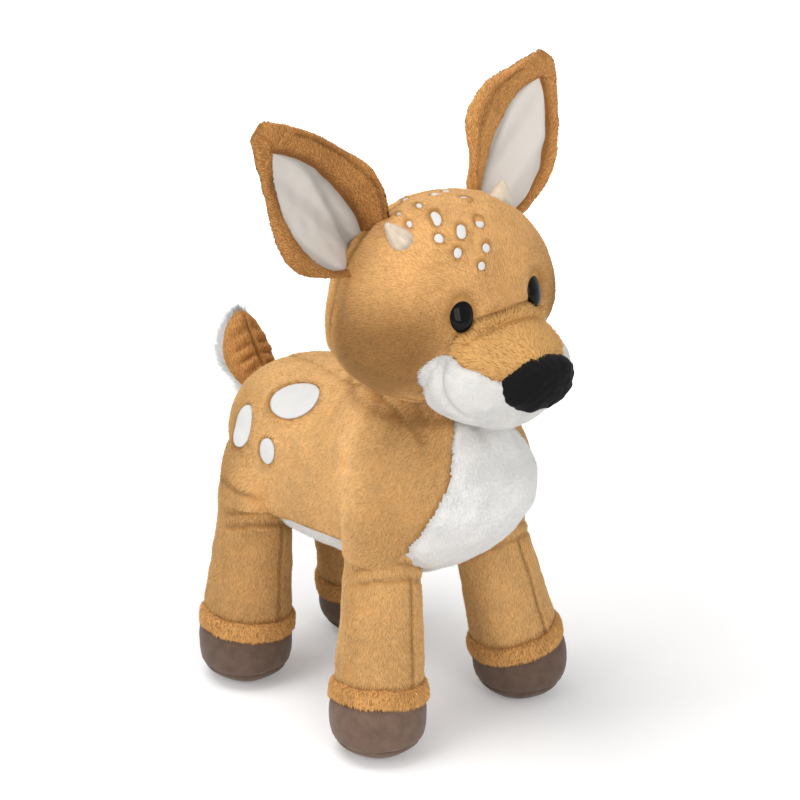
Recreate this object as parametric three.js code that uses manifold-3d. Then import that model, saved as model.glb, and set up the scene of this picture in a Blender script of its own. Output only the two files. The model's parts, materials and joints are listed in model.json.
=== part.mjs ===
// A plush deer that stands on its four legs, sewn from pile fabric and stuffed.
// Millimetres, +Z up. The deer looks along -Y and its left side is +X.
// The origin is on the floor, under the middle of the deer.
import * as THREE from "three";
import { mergeVertices } from "three/addons/utils/BufferGeometryUtils.js";
import Module from "manifold-3d";

const wasm = await Module();
wasm.setup();

// Fabric, and how closely pieces meet
const fabric = 3; // pile and its backing together
const fit = 0.3; // gap between pieces that touch
const bendRoom = 1; // gap beside a part that bends
const overrun = 40; // how far a cutting form runs past what it cuts
const weld = 0.001; // vertices closer than this are one
const floorTrim = 0.5; // depth of the flat that each hoof is pressed to
const sideSigns = [-1, 1]; // the deer's right, then its left

// Torso: a barrel from the chest to the rump, its top rising to the neck
const torsoLength = 273;
const torsoHalfWidth = 76;
const torsoHeight = 150; // belly to back, without the neck's rise
const chestPlaceY = -115; // foremost point of the chest
const bellyHeight = 121;
const torsoSquareness = 2.3; // 2 is an ellipse
const torsoEndSquareness = 3.1;
// Place along the torso, half width, top and bottom, the last two counted up from the belly
const torsoProfileShares = [
  [0, 0.86, 0.84, 0.3],
  [0.12, 0.9, 0.98, 0.12],
  [0.25, 0.95, 1.1, 0.02],
  [0.36, 0.95, 1.12, 0],
  [0.5, 0.92, 1.04, 0],
  [0.65, 0.92, 0.97, 0],
  [0.8, 0.95, 0.95, 0.01],
  [0.92, 0.94, 0.94, 0.06],
  [1, 0.9, 0.86, 0.14],
];

// White panel over the chest and along the belly, widening from the throat down
const panelTopDrop = 7; // from the back's height down to the panel's top
const panelHalfWidth = 60;
const bellyStripHalfWidth = 53;
const bellyStripEndGap = 46; // from the strip's end to the rump
const panelDepth = 95; // how far back the chest part of the panel reaches
// Height between the belly and the panel's top, and half width there
const panelOutlineShares = [
  [0.2, 1],
  [0.36, 1],
  [0.5, 0.93],
  [0.65, 0.82],
  [0.8, 0.67],
  [1, 0.48],
];

// White patches let into the rump on each side
const patchThickness = 1.6;
const patchSink = 0.5;
// Place across, back along and up the torso, and size along and up its side, as shares of the torso's
// half width, length and height, and of its half width again
const patchShares = {
  large: [0.684, 0.648, 0.853, 0.645, 0.355],
  rear: [0.816, 0.817, 0.633, 0.276, 0.421],
  small: [0.895, 0.696, 0.567, 0.211, 0.263],
};
// Degrees that each faces rearward and upward, and that its front end is raised
const patchTurns = {
  large: [0, 45, 27],
  rear: [22, 12, 8],
  small: [0, 8, 0],
};

// Neck: a ball of stuffing that joins the torso and the head
const neckRadius = 46;
const neckSetback = 90; // from the foremost point of the chest back to the ball's middle
const neckDrop = 9; // from the back's height down to the ball's middle
const headTurnLimit = 18;
const headNodLimit = 9;

// Head: a broad egg, wider than it is deep
const headHalfWidth = 97;
const headHalfDepth = 67;
const headHalfHeight = 77.5;
const headForward = 18; // from the neck's middle to the head's
const headLift = 5.5; // from the neck's middle up to the head's lowest point

// Muzzle: a rounded snout on the front of the head, white below and tan above
const muzzleHalfWidth = 58;
const muzzleHalfDepth = 49;
const muzzleHalfHeight = 40;
const muzzleSetback = 15; // from the head's foremost point back to the muzzle's middle
const muzzleLift = 32.5; // from the head's lowest point up to the muzzle's middle
const muzzleSeamRise = 11; // from the muzzle's middle up to where its panels meet beside the nose
const muzzleSeamForward = 37; // from the muzzle's middle forward to that place
const muzzleSeamTilt = 15; // degrees, rising toward the cheeks

// Nose: a stuffed oval on the front of the muzzle
const noseHalfWidth = 34;
const noseHalfDepth = 18;
const noseHalfHeight = 20.5;
const noseSink = 6.9; // from the muzzle's surface back to the nose's middle
const noseRise = 3; // above the muzzle's middle

// Eyes: glossy ovals on stems that a washer locks inside the head
const eyeHalfWidth = 8.3;
const eyeHalfHeight = 12;
const eyeHalfDepth = 6;
const eyePlaceX = 37;
const eyeRise = 7; // above the head's middle
const eyeSink = 7.6; // from the head's surface back to the eye's flat rear face
const eyeTurn = 16; // degrees that each eye looks outward
const eyeHollowSpread = 1.8; // width of the drawn-in hollow as a multiple of the eye
const eyeHollowDepth = 11;
const eyeSeatGap = 1.3; // between an eye's rim and the fabric behind it
const stemRadius = 2.4;
const stemEnd = 5; // stem that shows behind the washer
const washerRadius = 8;
const washerThickness = 1.6;

// Horns: short satin cones, stuffed hard
const hornLength = 21;
const hornBaseRadius = 9;
const hornTipRadius = 3.2;
const hornPlaceX = 50;
const hornForward = 11; // from the head's middle
const hornSink = 6.2; // from the head's surface down to the horn's seam
const hornLean = 33; // degrees outward
const hornLeanBack = 12; // degrees toward the rear

// Ears: pointed leaves, cupped toward the front, white inside a tan rim
const earHalfWidth = 46;
const earThickness = 6;
const earCup = 24; // how far the middle of the ear's base lies behind its edges
const earTurn = 10; // degrees that each ear faces inward
const earPlaceX = 66;
const earSetback = 7; // from the head's middle
const earSink = 7.2; // from the head's surface down to the ear's base
const earSpread = 83; // from the ear's base outward to its tip
const earSweep = 29; // from the ear's base back to its tip
const earRise = 100; // from the ear's base up to its tip
const earRim = 13; // tan border round the white lining
const liningThickness = 2;
const earBendLimit = 25;
// Place along the ear and half width there
const earOutlineShares = [
  [0, 0.6],
  [0.12, 0.82],
  [0.28, 0.98],
  [0.42, 0.98],
  [0.6, 0.88],
  [0.78, 0.58],
  [0.92, 0.27],
  [1, 0.05],
];

// Tail: a curled, flattened drop, tan on its upper side and white below
const tailHalfWidth = 22;
const tailHalfThickness = 14;
const tailRootDepth = 18; // from the rearmost point of the rump forward to the root
const tailRootDrop = 53; // from the back's height down to the root
const tailReach = 38; // rearward from the root
const tailRise = 56; // upward from the root
const tailBendLimit = 20;
const tailFullness = 2.4; // 2 is an egg, more is blunter
// Place along the tail and size there
const tailProfileShares = [
  [0, 0.72],
  [0.3, 0.9],
  [0.6, 1],
  [0.85, 0.9],
  [1, 0.75],
];

// Legs: stout columns that swing on a ball inside the torso and flare to the cuff
const legTopRadius = 28.5;
const legMiddleRadius = 31;
const legBottomRadius = 33;
const legBallRadius = 31;
const cuffHeight = 20;
const cuffThickness = 4.5;
const legSwingLimit = 10;
const legBallRise = 29; // from the belly up to the balls' middles
// Where each leg swings and where its hoof stands: across and back along the torso, as shares of its
// half width and of its length
const legShares = {
  front_right: { ball: [-0.671, 0.3], hoof: [-0.928, 0.249] },
  front_left: { ball: [0.697, 0.267], hoof: [0.987, 0.205] },
  hind_right: { ball: [-0.605, 0.828], hoof: [-0.763, 0.839] },
  hind_left: { ball: [0.605, 0.828], hoof: [0.855, 0.813] },
};

// Hooves: suede balls, each with a flat sole panel
const hoofRadius = 36;
const hoofHalfHeight = 31;
const hoofSquareness = 2.7; // 2 is an ellipse
const hoofShowing = 12; // from the hoof's middle up to the cuff's lower edge
const soleTopHeight = 9;
const suede = 1.6;
const ankleCoreRadius = 20; // stuffing that runs on from leg to hoof

// How finely the surfaces are divided
const torsoSides = 20;
const torsoRings = 10;
const headSides = 16;
const headRings = 10;
const muzzleSides = 12;
const muzzleRings = 8;
const limbSides = 10;
const limbRings = 5;
const coreSides = 10;
const coreRings = 5;
const earRows = 5;
const earColumns = 4;

// Places worked out from the sizes

const point = (x, y, z) => new THREE.Vector3(x, y, z);

// How far an egg's surface lies from its middle, at a place given as shares of its other two half sizes.
const eggReach = (half, firstShare, secondShare) =>
  half * Math.sqrt(1 - firstShare ** 2 - secondShare ** 2);

const backHeight = bellyHeight + torsoHeight;
const rumpPlaceY = chestPlaceY + torsoLength;
const panelTopHeight = backHeight - panelTopDrop;
const bellyStripEndY = rumpPlaceY - bellyStripEndGap;

const neckPivot = point(0, chestPlaceY + neckSetback, backHeight - neckDrop);
const headPlaceY = neckPivot.y - headForward;
const headHeight = neckPivot.z + headLift + headHalfHeight;

const muzzlePlaceY = headPlaceY - headHalfDepth + muzzleSetback;
const muzzleHeight = headHeight - headHalfHeight + muzzleLift;
const muzzleSeamPlaceY = muzzlePlaceY - muzzleSeamForward;
const muzzleSeamHeight = muzzleHeight + muzzleSeamRise;
const noseReach = eggReach(muzzleHalfDepth, 0, noseRise / muzzleHalfHeight);
const nosePlaceY = muzzlePlaceY - noseReach + noseSink;
const noseHeight = muzzleHeight + noseRise;

const eyeReach = eggReach(headHalfDepth, eyePlaceX / headHalfWidth, eyeRise / headHalfHeight);
const eyePlaceY = headPlaceY - eyeReach + eyeSink;
const eyeHeight = headHeight + eyeRise;

const hornReach = eggReach(headHalfHeight, hornPlaceX / headHalfWidth, hornForward / headHalfDepth);
const hornPlaceY = headPlaceY - hornForward;
const hornHeight = headHeight + hornReach - hornSink;

const earReach = eggReach(headHalfHeight, earPlaceX / headHalfWidth, earSetback / headHalfDepth);
const earPlaceY = headPlaceY + earSetback;
const earBaseHeight = headHeight + earReach - earSink;

const tailRoot = point(0, rumpPlaceY - tailRootDepth, backHeight - tailRootDrop);

const legBallHeight = bellyHeight + legBallRise;
const onTorso = ([acrossShare, backShare], height) =>
  point(acrossShare * torsoHalfWidth, chestPlaceY + backShare * torsoLength, height);

const material = (color, roughness, metalness = 0) =>
  new THREE.MeshStandardMaterial({ color, roughness, metalness });
const finishes = {
  tanPile: material("#c3925f", 0.95),
  brightPile: material("#d9a569", 0.95),
  whitePile: material("#e8e4de", 0.95),
  patch: material("#f0efed", 0.9),
  lining: material("#dcd6ce", 0.85),
  satin: material("#d8c5ad", 0.5),
  suede: material("#6f5b4e", 0.9),
  noseCloth: material("#1c1b1d", 0.8),
  eyeGloss: material("#0b0c09", 0.08),
  washer: material("#d9d7d0", 0.5),
  fibre: material("#f4f2ee", 1),
};

// Curves and closed surfaces

const degrees = THREE.MathUtils.degToRad;

// A smooth curve through rows of [place, value, ...], as a function of place and column.
function curveThrough(rows) {
  const slope = (i, column) => {
    const before = rows[Math.max(i - 1, 0)];
    const after = rows[Math.min(i + 1, rows.length - 1)];
    return (after[column] - before[column]) / (after[0] - before[0]);
  };
  return (place, column = 1) => {
    const next = rows.findIndex((row) => row[0] >= place && row[0] > rows[0][0]);
    const i = (next < 0 ? rows.length - 1 : next) - 1;
    const width = rows[i + 1][0] - rows[i][0];
    const t = (place - rows[i][0]) / width;
    const rise = rows[i + 1][column] - rows[i][column];
    const bend = t * t * (3 - 2 * t) * rise;
    const leave = t * (1 - t) * (1 - t) * width * slope(i, column);
    const arrive = t * t * (t - 1) * width * slope(i + 1, column);
    return rows[i][column] + bend + leave + arrive;
  };
}

// A geometry from triangles given as arrays of three points, flat ones left out.
function geometryFrom(triangles) {
  const solidOnes = triangles.filter(
    ([a, b, c]) => a.distanceTo(b) > weld && b.distanceTo(c) > weld && c.distanceTo(a) > weld,
  );
  return new THREE.BufferGeometry().setFromPoints(solidOnes.flat());
}

// Two triangles for the quad a, b, c, d.
const quad = (a, b, c, d) => [
  [a, b, c],
  [a, c, d],
];

// A closed surface through rings of points, with a pole before the first ring and after the last.
function ringedForm(firstPole, rings, lastPole) {
  const triangles = [];
  const sides = rings[0].length;
  for (let j = 0; j < sides; j++) {
    const k = (j + 1) % sides;
    triangles.push([firstPole, rings[0][k], rings[0][j]]);
    triangles.push([lastPole, rings.at(-1)[j], rings.at(-1)[k]]);
    for (let i = 0; i + 1 < rings.length; i++)
      triangles.push(...quad(rings[i][j], rings[i][k], rings[i + 1][k], rings[i + 1][j]));
  }
  return geometryFrom(triangles);
}

// A closed thin sheet between two grids of points, the first on the side that the sheet faces.
function sheetForm(front, back) {
  const triangles = [];
  const rows = front.length;
  const columns = front[0].length;
  for (let i = 0; i + 1 < rows; i++)
    for (let j = 0; j + 1 < columns; j++) {
      triangles.push(...quad(front[i][j], front[i][j + 1], front[i + 1][j + 1], front[i + 1][j]));
      triangles.push(...quad(back[i][j], back[i + 1][j], back[i + 1][j + 1], back[i][j + 1]));
    }
  for (let i = 0; i + 1 < rows; i++) {
    triangles.push(...quad(front[i][0], front[i + 1][0], back[i + 1][0], back[i][0]));
    const end = columns - 1;
    triangles.push(...quad(front[i][end], back[i][end], back[i + 1][end], front[i + 1][end]));
  }
  for (let j = 0; j + 1 < columns; j++) {
    triangles.push(...quad(front[0][j], back[0][j], back[0][j + 1], front[0][j + 1]));
    const end = rows - 1;
    triangles.push(...quad(front[end][j], front[end][j + 1], back[end][j + 1], back[end][j]));
  }
  return geometryFrom(triangles);
}

// A turned form about Z from a closed or axis-to-axis profile of [radius, height].
function turned(profile, sides) {
  const outline = profile.map(([radius, height]) => new THREE.Vector2(radius, height));
  return new THREE.LatheGeometry(outline, sides).rotateX(degrees(90));
}

// An ellipsoid about its own middle, with its poles up and down.
function egg(halfWidth, halfDepth, halfHeight, sides, rings) {
  const ball = new THREE.SphereGeometry(1, sides, rings).rotateX(degrees(90));
  return ball.scale(halfWidth, halfDepth, halfHeight);
}

// Solids that can be cut and joined

function solidOf(geometry, matrix = new THREE.Matrix4()) {
  const loose = geometry.index ? geometry.toNonIndexed() : geometry;
  const bare = new THREE.BufferGeometry()
    .setAttribute("position", loose.getAttribute("position").clone())
    .applyMatrix4(matrix);
  const merged = mergeVertices(bare, weld);
  return new wasm.Manifold(
    new wasm.Mesh({
      numProp: 3,
      vertProperties: merged.getAttribute("position").array,
      triVerts: new Uint32Array(merged.index.array),
    }),
  );
}

function geometryOf(solid) {
  const mesh = solid.getMesh();
  const positions = new Float32Array(mesh.numVert * 3);
  for (let i = 0; i < mesh.numVert; i++)
    positions.set(mesh.vertProperties.subarray(i * mesh.numProp, i * mesh.numProp + 3), i * 3);
  const geometry = new THREE.BufferGeometry();
  geometry.setAttribute("position", new THREE.BufferAttribute(positions, 3));
  geometry.setIndex(new THREE.BufferAttribute(mesh.triVerts, 1));
  return geometry;
}

const placed = (x, y, z) => new THREE.Matrix4().makeTranslation(x, y, z);

// A turn about an axis through a point.
function turnAbout(pivot, axis, angle) {
  return placed(pivot.x, pivot.y, pivot.z)
    .multiply(new THREE.Matrix4().makeRotationAxis(axis, degrees(angle)))
    .multiply(placed(-pivot.x, -pivot.y, -pivot.z));
}

const acrossAxis = point(1, 0, 0);
const upAxis = point(0, 0, 1);
const deer = new THREE.Group();

// A group at a pivot of the deer's own frame, in the group that carries it.
function carriedBy(carrier, pivot) {
  const group = new THREE.Group();
  carrier.add(group);
  carrier.updateWorldMatrix(true, false);
  group.position.copy(carrier.worldToLocal(pivot.clone()));
  return group;
}

// A named piece in a group, from a solid in the deer's own frame.
function addPiece(group, name, solid, finish) {
  group.updateWorldMatrix(true, false);
  const geometry = geometryOf(solid).applyMatrix4(group.matrixWorld.clone().invert());
  const mesh = new THREE.Mesh(geometry, finish);
  mesh.name = name;
  group.add(mesh);
}

const sideName = (side) => (side < 0 ? "right" : "left");

// Torso forms

const torsoProfile = curveThrough(torsoProfileShares);

// How full a rounded end is, from 0 at either end of a form to 1 in its middle.
const fullness = (along, squareness) =>
  Math.pow(1 - Math.pow(Math.abs(2 * along - 1), squareness), 1 / squareness);

// The torso's barrel, drawn in all round by an inset.
function barrel(inset, sides = torsoSides, rings = torsoRings) {
  const length = torsoLength - 2 * inset;
  const ring = (i) => {
    const along = (1 - Math.cos((Math.PI * i) / rings)) / 2;
    const full = fullness(along, torsoEndSquareness);
    const top = bellyHeight + torsoProfile(along, 2) * torsoHeight;
    const bottom = bellyHeight + torsoProfile(along, 3) * torsoHeight;
    const halfWidth = (torsoProfile(along, 1) * torsoHalfWidth - inset) * full;
    const halfHeight = ((top - bottom) / 2 - inset) * full;
    return Array.from({ length: sides }, (_, j) => {
      const angle = (2 * Math.PI * j) / sides;
      const bulge = (v) => Math.sign(v) * Math.pow(Math.abs(v), 2 / torsoSquareness);
      return point(
        halfWidth * bulge(Math.cos(angle)),
        chestPlaceY + inset + along * length,
        (top + bottom) / 2 - halfHeight * bulge(Math.sin(angle)),
      );
    });
  };
  const rows = Array.from({ length: rings - 1 }, (_, i) => ring(i + 1));
  return solidOf(ringedForm(ring(0)[0], rows, ring(rings)[0]));
}

const ballPivots = Object.values(legShares).map(({ ball }) => onTorso(ball, legBallHeight));

const sphere = (radius, center) =>
  solidOf(
    egg(radius, radius, radius, limbSides, limbRings),
    placed(center.x, center.y, center.z),
  );

// A socket for a sphere: its flats lie outside the sphere, so that the two can turn.
const flatShare = Math.cos(Math.PI / limbSides) * Math.cos(Math.PI / limbRings / 2);
const socket = (radius, center) => sphere((radius + fit) / flatShare, center);

const joined = (solids) => solids.reduce((all, one) => all.add(one));

// The barrel with the four balls that the legs swing on.
function torsoForm() {
  return joined([barrel(0), ...ballPivots.map((pivot) => sphere(legBallRadius, pivot))]);
}

// Head and neck forms

const headEgg = (inset, sides = headSides, rings = headRings) =>
  solidOf(
    egg(headHalfWidth - inset, headHalfDepth - inset, headHalfHeight - inset, sides, rings),
    placed(0, headPlaceY, headHeight),
  );

const muzzleEgg = (inset, sides = muzzleSides, rings = muzzleRings) =>
  solidOf(
    egg(muzzleHalfWidth - inset, muzzleHalfDepth - inset, muzzleHalfHeight - inset, sides, rings),
    placed(0, muzzlePlaceY, muzzleHeight),
  );

// The space over the torso that the head and muzzle pass through as they turn and nod.
function headClearance() {
  const nodDrop = neckRadius * Math.sin(degrees(headNodLimit));
  const reach = headHalfWidth + headForward / 2 + bendRoom;
  const halfHeight = headHalfHeight + nodDrop + bendRoom;
  const swept = egg(reach, reach, halfHeight, headSides, coreRings);
  const nod = turnAbout(neckPivot, acrossAxis, headNodLimit);
  const muzzles = [-1, 0, 1].map((step) =>
    muzzleEgg(-fabric, coreSides, coreRings)
      .transform(nod.elements)
      .transform(turnAbout(neckPivot, upAxis, step * headTurnLimit).elements),
  );
  return joined([solidOf(swept, placed(0, neckPivot.y, headHeight)), ...muzzles]);
}

const neckHole = socket(neckRadius, neckPivot);

// Torso pieces

// A solid through an outline of [across, up] points, run along Y or Z.
function prism(outline, axis, from, to) {
  const shape = new THREE.Shape(outline.map(([across, up]) => new THREE.Vector2(across, up)));
  const geometry = new THREE.ExtrudeGeometry(shape, { depth: to - from, bevelEnabled: false });
  if (axis === "y") geometry.rotateX(degrees(90)).translate(0, to, 0);
  else geometry.translate(0, 0, from);
  return solidOf(geometry);
}

// An outline and its mirror image across the middle plane, as one closed outline.
const mirroredOutline = (half) => [
  ...half,
  ...half.map(([across, up]) => [-across, up]).reverse(),
];

// The region of the white panel, grown all round by a margin.
function panelRegion(margin) {
  const lowest = bellyHeight - overrun;
  const rise = panelTopHeight - bellyHeight;
  const chest = panelOutlineShares.map(([height, width]) => [
    width * panelHalfWidth + margin,
    bellyHeight + height * rise,
  ]);
  const [topHalfWidth, topHeight] = chest.at(-1);
  const outline = mirroredOutline([
    [chest[0][0], lowest],
    ...chest.slice(0, -1),
    [topHalfWidth, topHeight + margin],
  ]);
  const half = bellyStripHalfWidth + margin;
  const end = bellyStripEndY + margin;
  const strip = mirroredOutline([
    [half, chestPlaceY],
    [half, end - half],
    [half * Math.cos(degrees(30)), end - half / 2],
    [half / 2, end - half * (1 - Math.cos(degrees(30)))],
    [weld, end],
  ]);
  return joined([
    prism(outline, "y", chestPlaceY - overrun, chestPlaceY + panelDepth),
    prism(strip, "z", lowest, bellyHeight + torsoHeight / 5),
  ]);
}

// An oval column that stands square on the torso's side at a patch.
function patchColumn(patch, side, margin) {
  const [acrossShare, backShare, upShare, lengthShare, heightShare] = patchShares[patch];
  const [rearward, upward, raised] = patchTurns[patch];
  const out = new THREE.Vector3().setFromSphericalCoords(
    1,
    degrees(90 - upward),
    degrees(side * (90 - rearward)),
  );
  const facing = point(out.x, out.z, out.y);
  const along = point(0, 0, 0).crossVectors(upAxis, facing).normalize();
  const up = point(0, 0, 0).crossVectors(facing, along);
  const column = new THREE.CylinderGeometry(1, 1, 1, limbSides).rotateZ(degrees(90));
  const halfLength = (lengthShare * torsoHalfWidth) / 2;
  const halfHeight = (heightShare * torsoHalfWidth) / 2;
  column.scale(overrun, halfLength + margin, halfHeight + margin);
  const spot = onTorso([side * acrossShare, backShare], bellyHeight + upShare * torsoHeight);
  const place = placed(spot.x, spot.y, spot.z)
    .multiply(new THREE.Matrix4().makeBasis(facing, along, up))
    .multiply(new THREE.Matrix4().makeRotationX(degrees(-side * raised)));
  return solidOf(column, place);
}

function addTorso() {
  const opening = headClearance().add(neckHole);
  const shell = torsoForm().subtract(barrel(fabric, coreSides, coreRings)).subtract(opening);
  const patchTop = barrel(patchSink);
  const patchBed = barrel(patchSink + patchThickness);
  const coverBed = barrel(patchSink + patchThickness + fit);
  let cover = shell.subtract(panelRegion(fit));
  for (const side of sideSigns)
    for (const patch of Object.keys(patchShares)) {
      const band = patchTop.subtract(patchBed);
      const name = `rump_patch_${patch}_${sideName(side)}`;
      addPiece(deer, name, band.intersect(patchColumn(patch, side, 0)), finishes.patch);
      cover = cover.subtract(patchColumn(patch, side, fit).subtract(coverBed));
    }
  addPiece(deer, "torso_cover", cover, finishes.tanPile);
  addPiece(deer, "chest_belly_panel", shell.intersect(panelRegion(0)), finishes.whitePile);
  const stuffing = barrel(fabric + fit, coreSides, coreRings).subtract(opening);
  addPiece(deer, "torso_stuffing", stuffing, finishes.fibre);
}

addTorso();

const neck = carriedBy(deer, neckPivot);
const head = carriedBy(neck, neckPivot);
addPiece(neck, "neck_stuffing", sphere(neckRadius, neckPivot), finishes.fibre);

// Eyes

const hollowOffset = eyeHollowDepth * Math.sqrt(1 - 1 / eyeHollowSpread ** 2) - eyeSeatGap;
const washerInset = eyeHollowDepth - hollowOffset + fabric + fit; // eye's back to washer
const stemLength = washerInset + washerThickness + stemEnd;

// An eye's place: its own -Y looks outward from the face.
const eyePlace = (side) =>
  placed(side * eyePlaceX, eyePlaceY, eyeHeight).multiply(
    new THREE.Matrix4().makeRotationZ(degrees(side * eyeTurn)),
  );

// The hollow that each eye is drawn into, grown all round by a margin.
const eyeHollows = (margin) =>
  joined(
    sideSigns.map((side) =>
      solidOf(
        egg(
          eyeHalfWidth * eyeHollowSpread + margin,
          eyeHollowDepth + margin,
          eyeHalfHeight * eyeHollowSpread + margin,
          coreSides,
          coreRings,
        ),
        eyePlace(side).multiply(placed(0, -hollowOffset, 0)),
      ),
    ),
  );

// A turned form about an eye's stem, its heights counted back from the eye's flat rear face.
const aboutStem = (profile, side) =>
  solidOf(
    turned(profile, coreSides),
    eyePlace(side).multiply(new THREE.Matrix4().makeRotationX(degrees(-90))),
  );

// A plug about an eye's stem between two depths behind the eye's flat rear face.
const stemPlug = (radius, from, to, side) =>
  aboutStem(
    [
      [0, from],
      [radius, from],
      [radius, to],
      [0, to],
    ],
    side,
  );

function eyeSolid(side) {
  const dome = egg(eyeHalfWidth, eyeHalfDepth, eyeHalfHeight, limbSides, limbRings);
  const front = new THREE.BoxGeometry(overrun, overrun, overrun).translate(0, -overrun / 2, 0);
  return solidOf(dome, eyePlace(side))
    .intersect(solidOf(front, eyePlace(side)))
    .add(stemPlug(stemRadius, -eyeHalfDepth / 2, stemLength, side));
}

const washerSolid = (side) =>
  aboutStem(
    [
      [stemRadius + fit, washerInset],
      [washerRadius, washerInset],
      [washerRadius, washerInset + washerThickness],
      [stemRadius + fit, washerInset + washerThickness],
      [stemRadius + fit, washerInset],
    ],
    side,
  );

// Head pieces

function addHead() {
  const cavity = headEgg(fabric, coreSides, coreRings).subtract(eyeHollows(fabric));
  const core = headEgg(fabric + fit, coreSides, coreRings).subtract(eyeHollows(fabric + fit));
  const shell = headEgg(0).subtract(eyeHollows(0)).subtract(cavity);
  let cover = shell.subtract(muzzleEgg(fabric, coreSides, coreRings)).subtract(neckHole);
  let stuffing = core.subtract(neckHole);
  for (const side of sideSigns) {
    cover = cover.subtract(stemPlug(stemRadius + fit, -overrun, overrun, side));
    stuffing = stuffing
      .subtract(stemPlug(washerRadius + fit, -overrun, washerInset + washerThickness + fit, side))
      .subtract(stemPlug(stemRadius + fit, -overrun, stemLength + fit, side));
    addPiece(head, `eye_${sideName(side)}`, eyeSolid(side), finishes.eyeGloss);
    addPiece(head, `eye_washer_${sideName(side)}`, washerSolid(side), finishes.washer);
  }
  addPiece(head, "head_cover", cover, finishes.tanPile);
  addPiece(head, "head_stuffing", stuffing, finishes.fibre);
}

// All that lies above or below the seam between the muzzle's panels, short of it by half a fit.
function besideMuzzleSeam(direction) {
  const block = new THREE.BoxGeometry(overrun * 4, overrun * 6, overrun * 2);
  block.translate(0, 0, direction * (overrun + fit / 2));
  const tilt = new THREE.Matrix4().makeRotationX(degrees(muzzleSeamTilt));
  return solidOf(block, placed(0, muzzleSeamPlaceY, muzzleSeamHeight).multiply(tilt));
}

function addMuzzle() {
  const shell = muzzleEgg(0)
    .subtract(muzzleEgg(fabric, coreSides, coreRings))
    .subtract(headEgg(-fit))
    .subtract(eyeHollows(fit))
    .subtract(neckHole);
  addPiece(head, "muzzle_top_panel", shell.intersect(besideMuzzleSeam(1)), finishes.brightPile);
  addPiece(head, "muzzle_lower_panel", shell.intersect(besideMuzzleSeam(-1)), finishes.whitePile);
  const core = muzzleEgg(fabric + fit, coreSides, coreRings);
  const stuffing = core
    .subtract(headEgg(fabric, coreSides, coreRings))
    .subtract(eyeHollows(fabric + fit))
    .subtract(neckHole);
  addPiece(head, "muzzle_stuffing", stuffing, finishes.fibre);
  const nose = egg(noseHalfWidth, noseHalfDepth, noseHalfHeight, limbSides, limbRings);
  const noseSolid = solidOf(nose, placed(0, nosePlaceY, noseHeight)).subtract(muzzleEgg(-fit));
  addPiece(head, "nose", noseSolid, finishes.noseCloth);
}

function addHorns() {
  const horn = turned(
    [
      [0, -hornLength],
      [hornBaseRadius, -hornLength],
      [hornBaseRadius, 0],
      [(hornBaseRadius + hornTipRadius) / 2, hornLength / 2],
      [hornTipRadius, hornLength - hornTipRadius],
      [hornTipRadius / 2, hornLength - hornTipRadius / 5],
      [0, hornLength],
    ],
    coreSides,
  );
  for (const side of sideSigns) {
    const lean = new THREE.Matrix4()
      .makeRotationY(degrees(side * hornLean))
      .multiply(new THREE.Matrix4().makeRotationX(degrees(-hornLeanBack)));
    const place = placed(side * hornPlaceX, hornPlaceY, hornHeight).multiply(lean);
    const solid = solidOf(horn, place).subtract(headEgg(-fit));
    addPiece(head, `horn_${sideName(side)}`, solid, finishes.satin);
  }
}

addHead();
addMuzzle();
addHorns();

// Ears

const earOutline = curveThrough(earOutlineShares);

// An ear's base, its length and the directions along it, out of its hollow side and across it.
function earFrame(side) {
  const base = point(side * earPlaceX, earPlaceY, earBaseHeight);
  const reach = point(side * earSpread, earSweep, earRise);
  const along = reach.clone().normalize();
  const inward = point(0, -1, 0).applyAxisAngle(upAxis, degrees(-side * earTurn));
  const facing = inward.projectOnPlane(along).normalize();
  const across = point(0, 0, 0).crossVectors(along, facing);
  return { base, length: reach.length(), along, facing, across };
}

// Points of an ear's leaf inside a rim, between two offsets from its middle surface.
function earLeaf(side, rim, frontOffset, backOffset) {
  const { base, length, along, facing, across } = earFrame(side);
  const from = rim > 0 ? (rim * 2) / length : 0;
  const to = 1 - (rim * 2) / length;
  const grid = (offset) =>
    Array.from({ length: earRows + 1 }, (_, i) => {
      const place = from + ((to - from) * i) / earRows;
      const fullHalf = earOutline(place) * earHalfWidth;
      const half = fullHalf - rim;
      return Array.from({ length: earColumns + 1 }, (_, j) => {
        const share = (2 * j) / earColumns - 1;
        const hollow = earCup * (1 - place) * (1 - ((share * half) / fullHalf) ** 2);
        const edge = rim > 0 ? 1 : Math.sqrt(1 - Math.pow(share, 4));
        return base
          .clone()
          .addScaledVector(along, place * length)
          .addScaledVector(across, share * half)
          .addScaledVector(facing, offset * edge - hollow);
      });
    });
  return solidOf(sheetForm(grid(frontOffset), grid(backOffset)));
}

// A form at both ends of the bend of a part that it carries, as seen from that part.
const roundBend = (form, pivot, axis, limit) =>
  form
    .transform(turnAbout(pivot, axis, -limit).elements)
    .add(form.transform(turnAbout(pivot, axis, limit).elements));

function addEars() {
  for (const side of sideSigns) {
    const { base, facing, across } = earFrame(side);
    const pivot = base.clone().addScaledVector(facing, -earCup / 2);
    const ear = carriedBy(head, pivot);
    const nearHead = roundBend(headEgg(-bendRoom), pivot, across, earBendLimit);
    const half = earThickness / 2;
    const bed = earLeaf(side, earRim - fit, half + overrun / 8, half - liningThickness - fit);
    const back = earLeaf(side, 0, half, -half).subtract(bed).subtract(nearHead);
    const lining = earLeaf(side, earRim, half, half - liningThickness).subtract(nearHead);
    addPiece(ear, `ear_back_${sideName(side)}`, back, finishes.tanPile);
    addPiece(ear, `ear_lining_${sideName(side)}`, lining, finishes.lining);
  }
}

addEars();

// Tail

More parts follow.
